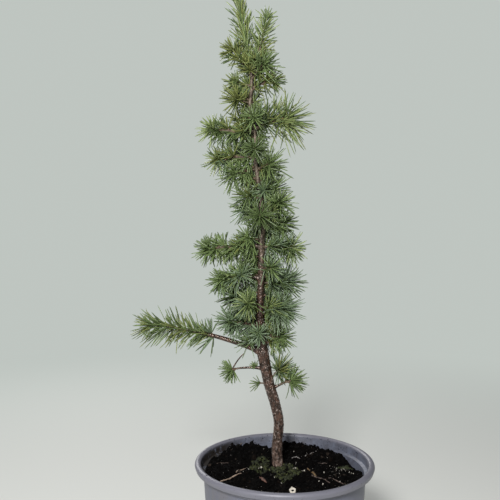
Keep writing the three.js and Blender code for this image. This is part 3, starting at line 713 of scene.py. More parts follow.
class Look:
    """The nodes of a material or of the world. Sockets are named with _ for a space."""

    def __init__(self, owner):
        owner.use_nodes = True
        self.owner = owner
        self.tree = owner.node_tree

    def put(self, socket, value):
        """Links a socket to another, or sets its value."""
        if isinstance(value, bpy.types.NodeSocket):
            self.tree.links.new(value, socket)
        else:
            socket.default_value = (*value, 1) if socket.type == "RGBA" else value

    def put_all(self, node, values):
        """Links or sets a node's sockets by their names."""
        for name, value in values.items():
            self.put(node.inputs[name.replace("_", " ")], value)

    def node(self, kind, *sources, **settings):
        """A new node's first output. Settings in lower case are its properties, the others sockets."""
        made = self.tree.nodes.new("ShaderNode" + kind)
        for name in [name for name in settings if name.islower()]:
            setattr(made, name, settings.pop(name))
        for socket, value in zip([socket for socket in made.inputs if socket.enabled], sources):
            self.put(socket, value)
        self.put_all(made, settings)
        return next(socket for socket in made.outputs if socket.enabled)

    def place(self):
        """A point's place in the object's own space, which is in metres."""
        return self.node("TexCoord").node.outputs["Object"]

    def texture(self, scale, kind="TexNoise", stretch=None, **settings):
        """A texture in the object's own space."""
        place = self.node("Mapping", self.place(), Scale=stretch) if stretch else self.place()
        return self.node(kind, Vector=place, Scale=scale, **settings)

    def ramp(self, source, *stops):
        """Colours or shades by a value, between stops of a value and its colour or shade."""
        output = self.node("ValToRGB", source)
        elements = output.node.color_ramp.elements
        while len(elements) < len(stops):
            elements.new(0.5)
        for element, (value, colour) in zip(elements, stops):
            element.position = value
            element.color = (*np.broadcast_to(colour, 3), 1)
        return output

    def mixed(self, share, first, second, mode="MIX"):
        """Two colours mixed by a share."""
        return self.node("Mix", share, first, second, data_type="RGBA", blend_type=mode)

    def times(self, first, second):
        """Two colours or shades multiplied."""
        return self.mixed(1.0, first, second, "MULTIPLY")

    def shade(self, **sockets):
        """Sets or links sockets of the material's shader."""
        self.put_all(self.tree.nodes["Principled BSDF"], sockets)

    def bump(self, height, distance, strength=1.0, **under):
        """Relief from a height, in metres, as the shader's normal."""
        normal = self.node("Bump", Height=height, Distance=distance, Strength=strength, **under)
        self.shade(Normal=normal)
        return normal

    def surface(self, shader):
        """Links a shader to the output."""
        output = next(node for node in self.tree.nodes if node.type.startswith("OUTPUT"))
        self.put(output.inputs["Surface"], shader)


def new_look(name, base, roughness, **sockets):
    """The look of a new material, with its shader's sockets set."""
    look = Look(bpy.data.materials.new(name))
    look.shade(Base_Color=base, Roughness=roughness, **sockets)
    return look


def mottled(name, base, roughness, patches, stops, relief, grain=None, **sockets):
    """A material with a mottled colour and fine relief. Patches and grain are the settings of textures."""
    look = new_look(name, base, roughness, **sockets)
    patches = look.texture(**patches)
    look.shade(Base_Color=look.ramp(patches, *stops))
    look.bump(look.texture(**grain) if grain else patches, relief)
    return look.owner


def needle_material(name, base):
    """A needle's waxy green, a little lighter and darker from needle to needle."""
    base = np.array(base)
    stops = [(0.3, 0.82 * base), (0.7, 1.2 * base)]
    return mottled(name, base, 0.34, {"scale": 90, "Detail": 1.0}, stops, 0.00006,
                   {"scale": 2600, "Detail": 1.0}, Specular_IOR_Level=0.55)


def twig_material():
    """Tan and olive young bark."""
    stops = [(0.30, (0.035, 0.024, 0.014)), (0.52, (0.090, 0.064, 0.038)), (0.70, (0.185, 0.145, 0.090))]
    return mottled("twig_bark", (0.20, 0.16, 0.10), 0.55, {"scale": 300, "Detail": 4.0}, stops, 0.0002,
                   {"scale": 1800, "Detail": 2.0})


def bud_material():
    """Papery red-brown bud scales."""
    stops = [(0.1, (0.19, 0.13, 0.07)), (0.6, (0.07, 0.04, 0.025))]
    scales = {"scale": 1400, "kind": "TexVoronoi"}
    return mottled("bud_scales", (0.21, 0.115, 0.06), 0.55, scales, stops, 0.0003)


def soil_material(name, dark, light):
    """Damp black-brown potting mix."""
    stops = [(0.40, 0.4 * np.array(dark)), (0.58, dark), (0.76, light)]
    return mottled(name, dark, 0.9, {"scale": 300, "Detail": 8.0, "Roughness": 0.75}, stops, 0.0009,
                   {"scale": 1300, "Detail": 6.0, "Roughness": 0.7}, Specular_IOR_Level=0.06)


def plain_material(name, dark, light, scale):
    """A small thing's own colour, mottled between two tones."""
    stops = [(0.35, dark), (0.6, light)]
    return mottled(name, light, 0.7, {"scale": scale, "Detail": 4.0}, stops, 0.0004)


def bark_material():
    """Dark red-brown, glossy scales with dark cracks and pale flecks, partly painted glints, dull grey-brown
    just over the soil.
    """
    look = new_look("bark", (0.05, 0.03, 0.022), 0.45, Specular_IOR_Level=0.7,
                    Specular_Tint=(1.0, 0.82, 0.72))
    x, _, z = look.node("SeparateXYZ", look.place()).node.outputs
    up = look.node("MapRange", z, BARK["lowest"] * MM, BARK["highest"] * MM)
    patches = look.texture(330, Detail=6.0, Roughness=0.68, stretch=(1, 1, 0.6))
    dull_foot = look.ramp(patches, (0.40, (0.014, 0.0085, 0.0062)), (0.50, (0.055, 0.034, 0.0255)),
                          (0.60, (0.165, 0.112, 0.088)))
    red = look.ramp(patches, (0.40, (0.005, 0.0024, 0.0016)), (0.50, (0.030, 0.0145, 0.0098)),
                    (0.60, (0.090, 0.047, 0.033)))
    grey_top = look.ramp(patches, (0.38, (0.018, 0.0125, 0.0080)), (0.49, (0.056, 0.043, 0.028)),
                         (0.62, (0.142, 0.116, 0.079)))
    colour = look.mixed(look.ramp(up, (0.03, 0.0), (0.12, 1.0)), dull_foot, red)
    colour = look.mixed(look.ramp(up, (0.42, 0.0), (0.62, 1.0)), colour, grey_top)
    scales = look.texture(330, "TexVoronoi", stretch=(1, 1, 0.8), feature="DISTANCE_TO_EDGE")
    colour = look.times(colour, look.ramp(scales, (0.0, 0.45), (0.10, 1.0)))
    # Pale flecks, partly the bark's own and partly painted glints. They thin out higher up and towards the
    # left.
    flecks_and_glints = look.texture(460, Detail=3.0, Roughness=0.7, stretch=(1, 1, 0.7))
    flecks_and_glints = look.times(look.ramp(flecks_and_glints, (0.57, 0.0), (0.67, 0.75)), look.ramp(up, (0.35, 1.0), (0.7, 0.15)))
    by_trunk = look.node("MapRange", x, BARK["flecks_and_glints_from_x"] * MM, BARK["flecks_and_glints_to_x"] * MM)
    flecks_and_glints = look.times(flecks_and_glints, by_trunk)
    dull = look.ramp(patches, (0.38, 0.34), (0.60, 0.18))
    duller = look.ramp(up, (0.05, 0.5), (0.14, 0.0), (0.36, 0.0), (0.60, 0.8))
    look.shade(Base_Color=look.mixed(flecks_and_glints, colour, (0.34, 0.28, 0.25)),
               Roughness=look.mixed(duller, dull, (0.55, 0.55, 0.55)))
    edges = look.bump(scales, 0.00025, 0.8)
    look.bump(look.texture(800, Detail=5.0, stretch=(1, 1, 0.6)), 0.0006, 0.9, Normal=edges)
    return look.owner


def pot_material():
    """Lavender-grey moulded plastic, faintly mottled and scuffed, darker and bluer below the rim by painted
    shade, and duller inside by soil dust and painted shade.
    """
    look = new_look("pot_plastic", (0.17, 0.17, 0.21), 0.34, Specular_IOR_Level=0.5)
    x, y, _ = look.node("SeparateXYZ", look.place()).node.outputs
    outwards = look.node("CombineXYZ", x, y)
    away = look.node("VectorMath", outwards, operation="LENGTH")
    under_rim = look.node("MapRange", away, (POT["rim_inner"] + 0.6) * MM, (POT["rim_inner"] - 0.2) * MM)
    normal = look.node("NewGeometry").node.outputs["Normal"]
    facing = look.node("VectorMath", normal, outwards, operation="DOT_PRODUCT")
    inwards = look.node("MapRange", facing, -0.1 * POT["rim_inner"] * MM, -0.3 * POT["rim_inner"] * MM)
    inside = look.node("Math", inwards, under_rim, operation="MULTIPLY")

    tone = look.ramp(look.texture(22, Detail=5.0, Roughness=0.6), (0.30, (0.136, 0.134, 0.160)),
                     (0.55, (0.146, 0.144, 0.172)), (0.75, (0.154, 0.151, 0.180)))
    scuffs = look.texture(90, Detail=6.0, Roughness=0.75, stretch=(1, 1, 3.5))
    worn = look.mixed(look.ramp(scuffs, (0.60, 0.0), (0.80, 0.16)), tone, (0.22, 0.215, 0.235))
    # Painted shade: the plastic narrower than the rim, except the inner wall, is darker and bluer than the
    # rim.
    wall = look.mixed(under_rim, worn, (0.79, 0.83, 0.90), "MULTIPLY")
    streaks = look.texture(60, Detail=6.0, Roughness=0.65, stretch=(1, 1, 0.22))
    streaks = look.times(look.ramp(streaks, (0.48, 0.0), (0.72, 0.45)), under_rim)
    wall = look.mixed(streaks, wall, (0.150, 0.132, 0.122))
    # The inner wall is bluish and darker in patches: partly soil dust and partly painted shade.
    dust_and_shade = look.texture(55, Detail=7.0, Roughness=0.8)
    dust_and_shade = look.times(worn, look.ramp(dust_and_shade, (0.44, (0.83, 0.92, 1.0)), (0.66, (0.355, 0.34, 0.33))))
    dust = look.ramp(look.texture(620, Detail=3.0), (0.67, 0.0), (0.72, 0.8))
    colour = look.mixed(dust, look.mixed(inside, wall, dust_and_shade), (0.035, 0.028, 0.023))
    at_left = look.node("MapRange", x, DIRT["from_x"] * MM, DIRT["to_x"] * MM)
    dirt = look.ramp(look.texture(170, Detail=5.0, Roughness=0.7), (0.38, 0.0), (0.46, 1.0))
    dirt = look.times(look.times(at_left, inside), dirt)
    look.shade(Base_Color=look.mixed(dirt, colour, (0.022, 0.018, 0.015)),
               Roughness=look.ramp(scuffs, (0.35, 0.43), (0.75, 0.48)))
    look.bump(look.texture(900, Detail=2.0), 0.00012, 0.6)
    return look.owner


# The camera.

def make_camera():
    """The photograph's camera, level but for its pitch."""
    data = bpy.data.cameras.new("camera")
    data.sensor_width = SENSOR
    data.lens = SENSOR * CAMERA["focal_px"] / CAMERA["width_px"]
    camera = placed("camera", data)
    camera.location = CAMERA["place"]
    camera.rotation_euler = (math.pi / 2 - CAMERA["pitch"], 0, 0)
    bpy.context.scene.camera = camera


# The trunk and boughs. Each bough is thicker by a collar where it leaves the trunk. The bark's pale flecks,
# partly painted glints, thin out towards the left between two x.
BARK = {"voxel": 0.45, "sides": 24, "step": 1.5, "past": 1.5, "collar": 0.45, "collar_length": 2.5,
        "lowest": 117, "highest": 520, "flecks_and_glints_from_x": -52, "flecks_and_glints_to_x": -38}
# The dark bark runs on along this bough, under its first needles.
BARK_RUNS_ON = {"long_left": 22}
# The bark's relief: the fineness of its scales and grain, the grain's octaves, the width of its cracks and
# rings, how much the rings sway, the height of scales, grain and rings, the radius that has it in full, and
# its share on the boughs, this far from the trunk.
RELIEF = {"scales": (0.40, 0.40, 0.30), "grain": (0.8, 0.8, 0.45), "octaves": (0.9, 2.1, 4), "crack": 0.25,
          "ring": 0.9, "ring_sway": 5, "heights": (0.08, 0.32, 0.03), "full": 5.2, "boughs": 0.3,
          "off_trunk": 1.5}


def bough_share(shoot, curve):
    """The share of a shoot's length that is bare bark."""
    return (shoot["bare"] + BARK_RUNS_ON.get(shoot["name"], 0) + trunk_radius(shoot["at"])) / curve.length


def bark_relief(place):
    """How far a point of the bark stands out: small scales, grain and faint rings."""
    nearest, next_nearest = noise.voronoi(Vector(place * RELIEF["scales"]))[0][:2]
    crack = min(1.0, (next_nearest - nearest) / RELIEF["crack"])
    grain = noise.fractal(Vector(place * RELIEF["grain"]), *RELIEF["octaves"])
    ring = math.sin(place[2] / RELIEF["ring"] + RELIEF["ring_sway"] * grain)
    return sum(height * share for height, share in zip(RELIEF["heights"], (crack - 1, grain, ring)))


def twiglet():
    """The bare twiglet that stands up at the tip of the low left bough: its line and radii."""
    tip = next(plant["curve"].at(1)[0] for plant in plants if plant["shoot"]["name"] == "low_left")
    shares = np.linspace(0, 1, TWIGLET["points"])
    line = tip + unit(np.array(TWIGLET["way"])) * (TWIGLET["length"] * shares)[:, None]
    line[:, 2] += TWIGLET["bow"] * np.sin(math.pi * shares)
    return line, TWIGLET["radius"] * (1 - TWIGLET["taper"] * shares)


def make_bark():
    """The trunk and bare boughs: tubes along the source's courses, fused, then given the bark's relief."""
    line = trunk_curve.at(np.linspace(0, 1, int(trunk_curve.length / BARK["step"]) + 1))
    parts = [tube(line, trunk_radius(line[:, 2]), BARK["sides"])]
    for shoot, curve, share in bare_boughs:
        steps = int(curve.length * share / BARK["step"]) + 1
        shares = np.linspace(0, share + BARK["past"] / curve.length, steps + 1)
        past = np.maximum(0, shares * curve.length - trunk_radius(shoot["at"]))
        collar = 1 + BARK["collar"] * np.exp(-past / BARK["collar_length"])
        parts.append(tube(curve.at(shares), shoot_radius(shoot, shares) * collar, BARK["sides"] // 2))
    parts.append(tube(*twiglet(), BARK["sides"] // 2))
    rough = piece("bark_rough", joined(parts), [])
    remesh = rough.modifiers.new("remesh", "REMESH")
    remesh.mode = "VOXEL"
    remesh.voxel_size = BARK["voxel"] * MM
    rough.modifiers.new("smooth", "SMOOTH").iterations = 3
    made = worked_out(rough, "bark", bark_material())
    places = read(made.data, "co") / MM
    radius = trunk_radius(places[:, 2])
    away = np.linalg.norm(places[:, :2] - trunk_point(places[:, 2])[:, :2], axis=1)
    share = np.where(away < radius + RELIEF["off_trunk"], radius / RELIEF["full"], RELIEF["boughs"])
    out = np.array([bark_relief(place) for place in places]) * share
    places += read(made.data, "normal") * out[:, None]
    made.data.vertices.foreach_set("co", (places * MM).astype(np.float32).ravel())
    made.data.update()
    settle(made, "trunk", "trunk", *(shoot["name"] + "_bough" for shoot, _, _ in bare_boughs))


# The twigs, and the spurs and buds under the tufts, inside the needles.
TWIG = {"sides": 8, "step": 1.2, "least_steps": 4, "knobs": 0.13}
SPUR = {"sides": 8, "radii": (1.3, 1.05, 1.25, 1.15, 0.8), "sunk": 0.4, "past": 0.6}


def make_twigs():
    """A knobbly twig along each shoot, and a spur with a bud under each tuft that has enough needles."""
    rng = np.random.default_rng(5)
    twigs, spurs = [], []
    for plant in plants:
        shoot, curve = plant["shoot"], plant["curve"]
        first = bough_share(shoot, curve) if shoot["bare"] else 0
        slim = 1 if shoot["bare"] else SLIM_TWIG
        steps = max(TWIG["least_steps"], int(curve.length * (1 - first) / TWIG["step"]))
        shares = np.linspace(first, 1, steps + 1)
        knobs = 1 + TWIG["knobs"] * rng.standard_normal((steps + 1, TWIG["sides"]))
        radii = slim * shoot_radius(shoot, shares)[:, None] * knobs
        twigs.append(tube(curve.at(shares), radii, TWIG["sides"]))
    for plant in plants + rosettes:
        for tuft in plant["tufts"]:
            if (plant["lengths"][tuft["needles"]] > 0).sum() >= FEWEST:
                foot = tuft["foot"] - tuft["facing"] * SPUR["sunk"]
                line = np.linspace(foot, tuft["middle"] + tuft["facing"] * SPUR["past"], len(SPUR["radii"]))
                spurs.append(tube(line, SPUR["radii"], SPUR["sides"]))
    replaced = [plant["shoot"]["name"] + "_needles" for plant in plants]
    settle(piece("twigs", joined(twigs), [twig_material()]), "boughs", *replaced)
    settle(piece("buds", joined(spurs), [bud_material()]), "boughs", *replaced)


def make_needles():
    """The needles, joined by the zones of height in which their shoots leave the trunk."""
    materials = [needle_material("needle_" + tint, base) for tint, base in TINTS.items()]
    low = 0
    for zone, high in ZONES:
        inside = [plant for plant in plants + rosettes if low <= plant["shoot"]["at"] < high]
        low = high
        names = [plant["shoot"]["name"] for plant in inside]
        made = piece("needles_" + zone, joined([needle_mesh(plant) for plant in inside]), materials)
        settle(made, "needles", *(name + "_needles" for name in names if name != "trunk"))


make_camera()
plants = [grow(index, shoot) for index, shoot in enumerate(SHOOTS)]
bare_boughs = [(plant["shoot"], plant["curve"], bough_share(plant["shoot"], plant["curve"]))
               for plant in plants if plant["shoot"]["bare"]]
limb_lines = [trunk_line[::2]]
limb_radii = [trunk_radius(trunk_line[::2, 2])]
for shoot, curve, share in bare_boughs:
    shares = np.linspace(0, share, BOUGH_SAMPLES)
    limb_lines.append(curve.at(shares))
    limb_radii.append(shoot_radius(shoot, shares))
    if shoot["name"] == CLEAR_BOUGH["name"]:
        clear_line = limb_lines[-1]
limb_points = np.vstack(limb_lines)
limb_radii = np.concatenate(limb_radii)
plants = [fitted(plant) for plant in plants]
rosettes = [fitted(plant) for plant in trunk_rosettes()]
make_bark()
make_twigs()
make_needles()


# The pot: the source's profile, turned finely, with its lines and rounded edges.
POT = {
    "height": 130,
    "rim_outer": 89,
    "rim_inner": 82.8,
    "rim_depth": 6.6,
    "rim_tuck": 1.2,
    "bead_outer": 83.4,
    "bead_depth": 11,
    "bead_slope": 1,
    "wall_top": 80.4,
    "foot_radius": 73,
    "wall": 1.7,
    "ledge_depth": 9,
    "ledge_tuck": 0.9,
    "ledge_drop": 1.2,
    "floor": 4,
    "channel_inner": 26,
    "channel_outer": 56,
    "channel_depth": 2,
    "corner": 2,
    "rim_points": 17,
    "rounding": (0.35, 28),
    "segments": 192,
}
DRAIN = {"count": 6, "radius": 4.5, "circle": 41, "sides": 32, "below": 3, "above": 12}
# Soil clings to the inner wall at the left, more and more between these two x.
DIRT = {"from_x": -38, "to_x": -62}


def pot_profile():
    """The pot's profile of radius and height, from the underside's middle round to the floor's."""
    height, inner, outer, foot = POT["height"], POT["rim_inner"], POT["rim_outer"], POT["foot_radius"]
    wall_top, corner, ledge = POT["wall_top"], POT["corner"], POT["height"] - POT["ledge_depth"]
    middle, half = (outer + inner) / 2, (outer - inner) / 2
    return [
        (0, 0),
        (POT["channel_inner"], 0),
        (POT["channel_inner"] + corner, POT["channel_depth"]),
        (POT["channel_outer"] - corner, POT["channel_depth"]),
        (POT["channel_outer"], 0),
        (foot - corner, 0),
        (foot, corner),
        (wall_top, height - POT["bead_depth"]),
        (POT["bead_outer"], height - POT["bead_depth"] + POT["bead_slope"]),
        (POT["bead_outer"], height - POT["rim_depth"]),
        (outer - POT["rim_tuck"], height - POT["rim_depth"]),
        *((middle + half * math.cos(turn), height - half + half * math.sin(turn))
          for turn in np.linspace(0, math.pi, POT["rim_points"])),
        (inner - POT["ledge_tuck"], ledge),
        (wall_top - POT["wall"], ledge - POT["ledge_drop"]),
        (foot - POT["wall"], POT["floor"] + corner),
        (foot - POT["wall"] - corner, POT["floor"]),
        (0, POT["floor"]),
    ]


def make_pot():
    """The turned pot, drilled with its drain holes and with its edges rounded."""
    (_, bottom), *profile, (_, top) = pot_profile()
    rings = [level_ring(radius, height, POT["segments"]) for radius, height in profile]
    rough = piece("pot_rough", closed(rings, [[0, 0, bottom], [0, 0, top]]), [])
    ends = np.array([[0, 0, -DRAIN["below"]], [0, 0, DRAIN["above"]]])
    drills = [tube(place + ends, [DRAIN["radius"]] * 2, DRAIN["sides"])
              for place in level_ring(DRAIN["circle"], 0, DRAIN["count"])]
    holes = piece("holes", joined(drills), [])
    cut = rough.modifiers.new("holes", "BOOLEAN")
    cut.operation = "DIFFERENCE"
    cut.object = holes
    made = worked_out(rough, "pot_shell", pot_material())
    bpy.data.objects.remove(holes)
    rounded(made, *POT["rounding"])
    made.modifiers.new("faces", "WEIGHTED_NORMAL").keep_sharp = True
    settle(made, "pot", "pot")


make_pot()


# The soil: the source's surface, with clods. Its skirt keeps a gap to the pot.
SOIL = {
    "level": 117.5,
    "relief": 1.6,
    "lumps": ((1, 9.1, 7.3, 1.3), (0.6, 4.7, -6.1, 2.1), (0.9, 17, 21, 1.6)),
    "calm": 14,
    "heap": 3.6,
    "heap_width": 22,
    "slope": (-0.035, 0.045),
    "mounds": ((-58, 44, 4, 18), (-30, 66, 2.5, 12), (20, 68, 2, 13)),
    "gap": 0.3,
    "brim_gap": 0.15,
    "even_brim": 12,
    "corner": 2,
    "skirt_top": 105,
    "rings": 130,
    "segments": 340,
}
# The soil's finer relief: swells, clods and grain, each with its fineness, its place in the noise and its
# height. It is more ragged from one y on, and calm at the trunk.
CLODS = {"fineness": ((0.09, 3.1), (0.23, 0.5), (0.5, 7.7)), "heights": (1.6, 2.2, 1.4), "clod_edge": 0.45,
         "near": 0.8, "farther": 0.9, "from_y": 5, "over_y": 45, "calm": 0.7, "calm_width": 12}
# Gaps where the soil has shrunk from the wall, and the dip before the trunk: x, y, depth and width.
PITS = ((-15, 77, 9.5, 8.5), (-17, 66, 3, 8), (77, 27, 5.5, 13), (-70, 38, 3, 7), (-6, 4, 2.8, 10))


def pot_inside(height):
    """The radius of the pot's inner wall at a height."""
    share = (height - POT["floor"]) / (POT["height"] - POT["ledge_depth"] - POT["floor"])
    return POT["foot_radius"] + (POT["wall_top"] - POT["foot_radius"]) * share - POT["wall"]


BRIM = pot_inside(SOIL["level"]) - SOIL["brim_gap"]


def bell(x, y, from_x, from_y, width):
    """A round swell of height one."""
    return np.exp(-((x - from_x) ** 2 + (y - from_y) ** 2) / width**2)


def soil_height(x, y):
    """The source's height of the soil."""
    foot = TRUNK[0, :2]
    lumps = sum(h * np.sin(x / a + y / b + s) for h, a, b, s in SOIL["lumps"])
    relief = SOIL["relief"] * lumps * (1 - bell(x, y, *foot, SOIL["calm"]))
    relief += SOIL["heap"] * bell(x, y, *foot, SOIL["heap_width"])
    relief += sum(h * bell(x, y, mound_x, mound_y, width) for mound_x, mound_y, h, width in SOIL["mounds"])
    inside = 1 - np.minimum(1, np.hypot(x, y) / BRIM) ** SOIL["even_brim"]
    return SOIL["level"] + SOIL["slope"][0] * x + SOIL["slope"][1] * y + relief * inside


def clods(x, y):
    """The finer relief of the soil at one point. The far side is more ragged."""
    swell, clod, grain = (Vector((x * fine, y * fine, level)) for fine, level in CLODS["fineness"])
    swell, grain = noise.fractal(swell, 1.0, 2.0, 3), noise.fractal(grain, 0.6, 2.1, 5)
    clod = CLODS["clod_edge"] - noise.voronoi(clod)[0][0]
    relief = sum(height * share for height, share in zip(CLODS["heights"], (swell, clod, grain)))
    ragged = CLODS["near"] + CLODS["farther"] * min(1, max(0, (y - CLODS["from_y"]) / CLODS["over_y"]))
    calm = 1 - CLODS["calm"] * float(bell(x, y, *TRUNK[0, :2], CLODS["calm_width"]))
    pits = sum(deep * bell(x, y, pit_x, pit_y, width) for pit_x, pit_y, deep, width in PITS)
    return ragged * calm * relief - float(pits)


def soil_top(x, y):
    """The height of the soil's top at one point."""
    return float(soil_height(x, y)) + clods(x, y)


def make_soil():
    """The soil's ragged top, with a skirt down to the pot's floor."""
    radii = BRIM * np.linspace(0, 1, SOIL["rings"] + 1)[:0:-1, None]
    x, y = (radii * side for side in circle(SOIL["segments"]))
    top = np.stack([x, y, soil_height(x, y) + np.vectorize(clods)(x, y)], axis=-1)
    bottom, corner, skirt_top = POT["floor"] + SOIL["gap"], SOIL["corner"], SOIL["skirt_top"]
    low = pot_inside(bottom + corner) - SOIL["gap"]
    skirt = ((low - corner, bottom), (low, bottom + corner), (pot_inside(skirt_top) - SOIL["gap"], skirt_top))
    rings = [level_ring(*ring, SOIL["segments"]) for ring in skirt]
    part = closed([*rings, *top], [[0, 0, bottom], [0, 0, soil_top(0, 0)]])
    settle(piece("soil_bed", part, [soil_material("soil", *SOIL_TONES[0])]), "soil", "soil")


# Crumbs, moss and bits that lie on the soil. Lumps are icosahedra pulled out of shape.
GOLDEN = (1 + math.sqrt(5)) / 2
ICO = unit(np.array([
    [-1, GOLDEN, 0], [1, GOLDEN, 0], [-1, -GOLDEN, 0], [1, -GOLDEN, 0], [0, -1, GOLDEN], [0, 1, GOLDEN],
    [0, -1, -GOLDEN], [0, 1, -GOLDEN], [GOLDEN, 0, -1], [GOLDEN, 0, 1], [-GOLDEN, 0, -1], [-GOLDEN, 0, 1],
]))
ICO_FACES = np.array([
    [0, 11, 5], [0, 5, 1], [0, 1, 7], [0, 7, 10], [0, 10, 11], [1, 5, 9], [5, 11, 4], [11, 10, 2], [10, 7, 6],
    [7, 1, 8], [3, 9, 4], [3, 4, 2], [3, 2, 6], [3, 6, 8], [3, 8, 9], [4, 9, 5], [2, 4, 11], [6, 2, 10],
    [8, 6, 7], [9, 8, 1],
])
SOIL_TONES = (
    ((0.0018, 0.0014, 0.0012), (0.0105, 0.0080, 0.0062)),
    ((0.0065, 0.0042, 0.0030), (0.024, 0.0155, 0.010)),
    ((0.034, 0.026, 0.020), (0.080, 0.062, 0.049)),
)
CRUMBS = {"count": 6500, "reach": 76.5, "size": (0.35, 2.1), "fine": 3.2, "tones": (0.9, 0.075, 0.025),
          "raised": 0.15, "wide": 1.3, "wall_gap": 0.4}
# Larger clods lie towards the far wall: their count, sizes, and the nearest y.
LARGE_CLODS = {"count": 240, "size": (1.6, 3.6), "from_y": 18}
# Moss: the x, y and half widths of its patches, its leaves, the gaps in it, its tones and their shares, and
# how dark each tone gets.
MOSS = ((-24, 9, 10, 14), (2, -6, 13, 17), (63, 17, 7, 7), (-8, 3, 9, 6))
MOSS_LEAVES = {"clumps": 1300, "size": (0.4, 1.1), "leaves": 11, "length": (0.9, 2.1), "width": 0.42,
               "lift": 0.21, "flatter": (1, 1, 0.6), "up": (0, 0, 0.9), "base": 0.7, "ragged": (0.75, 1.12)}
MOSS_GAPS = {"scale": 0.38, "level": 5.5, "above": -0.03}
MOSS_TONES = ((0.012, 0.016, 0.0035), (0.034, 0.043, 0.009), (0.090, 0.100, 0.024))
MOSS_SHARES = (0.5, 0.36, 0.14)
MOSS_DARK = 0.6
# Small things on the soil keep this far from its edge and from the trunk. Lumps are pulled by these factors.
OFF_EDGE = 2
OFF_TRUNK = {"moss": 1.6, "bits": 3}
LUMP = {"corners": (0.62, 1.25), "axes": (0.5, 1.2)}
SPIKE_FACES = np.array([[0, 1, 3], [1, 2, 3], [2, 0, 3], [2, 1, 0]])
# Pale grains and flakes: x, y and size.
PALE = (
    (-22.7, 3.7, 2.2), (-25.5, 2.9, 1.4), (-30, 3.2, 1.1), (-35.5, 3.4, 1.1), (11.4, 3.7, 1.5),
    (13.0, 6.6, 1.2), (9.2, 2.2, 1.3), (12.6, -0.9, 1.1), (20.5, 5.1, 1.7), (18.0, 3.0, 1.0),
    (40, 3.7, 1.5), (47.2, 5.1, 1.5), (67.1, 3.7, 1.4), (65.0, 0.4, 1.1), (69.5, 4.8, 1.0),
    (58.6, -21.9, 1.7), (35, -34.7, 1.6), (31.7, -29.7, 1.3), (-10.5, -17, 1.0), (-4.0, -27, 1.1),
    (-26, -36, 0.9), (9.5, -35, 0.9), (12.5, 50, 0.9), (54, 15, 1.0), (-9.5, 21, 1.3), (29, 9, 1.1),
    (-47, -3, 0.9), (58, 8, 1.2),
)
PALE_SIZE = 0.68
GRAINS = {"count": 90, "size": (0.22, 0.5), "tones": (0.4, 0.6), "raised": (0.75, 0.3)}
# More of them lie together at the right: their count, middle and width.
STREWN = {"count": 70, "middle": (60, 9), "width": (9, 11)}


def lumps(places, sizes, rng):
    """Many small irregular lumps."""
    count = len(places)
    turns, _ = np.linalg.qr(rng.normal(size=(count, 3, 3)))
    turns[:, 0] *= np.sign(np.linalg.det(turns))[:, None]
    forms = ICO * rng.uniform(*LUMP["corners"], (count, len(ICO), 1))
    forms = forms * rng.uniform(*LUMP["axes"], (count, 1, 3))
    forms = np.einsum("nij,nkj->nki", turns, forms) * sizes[:, None, None]
    return copies(places[:, None] + forms, ICO_FACES)


def spikes(starts, ways, lengths, width):
    """Many three-sided spikes, each closed by a base."""
    side = unit(np.cross(ways, [[0.3, 0.2, 0.9]]))
    x, y = circle(3)
    ring = side[:, None] * x[:, None] + np.cross(ways, side)[:, None] * y[:, None]
    tips = starts + ways * lengths[:, None]
    return copies(np.concatenate([starts[:, None] + ring * width / 2, tips[:, None]], axis=1), SPIKE_FACES)


def toned(part, tones):
    """A part of like copies, or of like groups of them, with a material number for each."""
    corners, faces, slots = part
    return corners, faces, np.repeat(tones, len(slots) // len(tones))


def flat(away, turn):
    """Places in the plane at some distances and turns."""
    return np.stack([away * np.cos(turn), away * np.sin(turn)], axis=1)


def on_soil(places, raised):
    """Points on the soil, raised a little, from their x and y."""
    return np.array([(x, y, soil_top(x, y) + up) for (x, y), up in zip(places, raised)])


def clear_of_trunk(places, gap):
    """Whether each place is this far from the trunk's foot."""
    return np.linalg.norm(places - TRUNK[0, :2], axis=1) > TRUNK[0, 3] + gap


def scattered(count, reach, rng):
    """Even random places in a circle, clear of the trunk."""
    places = flat(reach * np.sqrt(rng.random(count)), rng.uniform(0, 2 * math.pi, count))
    return places[clear_of_trunk(places, OFF_TRUNK["bits"])]


def make_crumbs():
    """Crumbs, mostly fine ones, and larger clods towards the far wall."""
    rng = np.random.default_rng(41)
    places = scattered(CRUMBS["count"], CRUMBS["reach"], rng)
    low, high = CRUMBS["size"]
    sizes = low + (high - low) * rng.random(len(places)) ** CRUMBS["fine"]
    far = scattered(LARGE_CLODS["count"], CRUMBS["reach"] - OFF_EDGE, rng)
    far = far[far[:, 1] > LARGE_CLODS["from_y"]]
    places = np.vstack([places, far])
    sizes = np.concatenate([sizes, rng.uniform(*LARGE_CLODS["size"], len(far))])
    edge = pot_inside(SOIL["level"]) - CRUMBS["wall_gap"] - CRUMBS["wide"] * sizes
    places *= np.minimum(1, edge / np.linalg.norm(places, axis=1))[:, None]
    part = lumps(on_soil(places, CRUMBS["raised"] * sizes), sizes, rng)
    tones = rng.choice(len(SOIL_TONES), len(places), p=CRUMBS["tones"])
    materials = [soil_material("crumb_" + str(i), *tone) for i, tone in enumerate(SOIL_TONES)]
    settle(piece("soil_crumbs", toned(part, tones), materials, smooth=False), "soil")


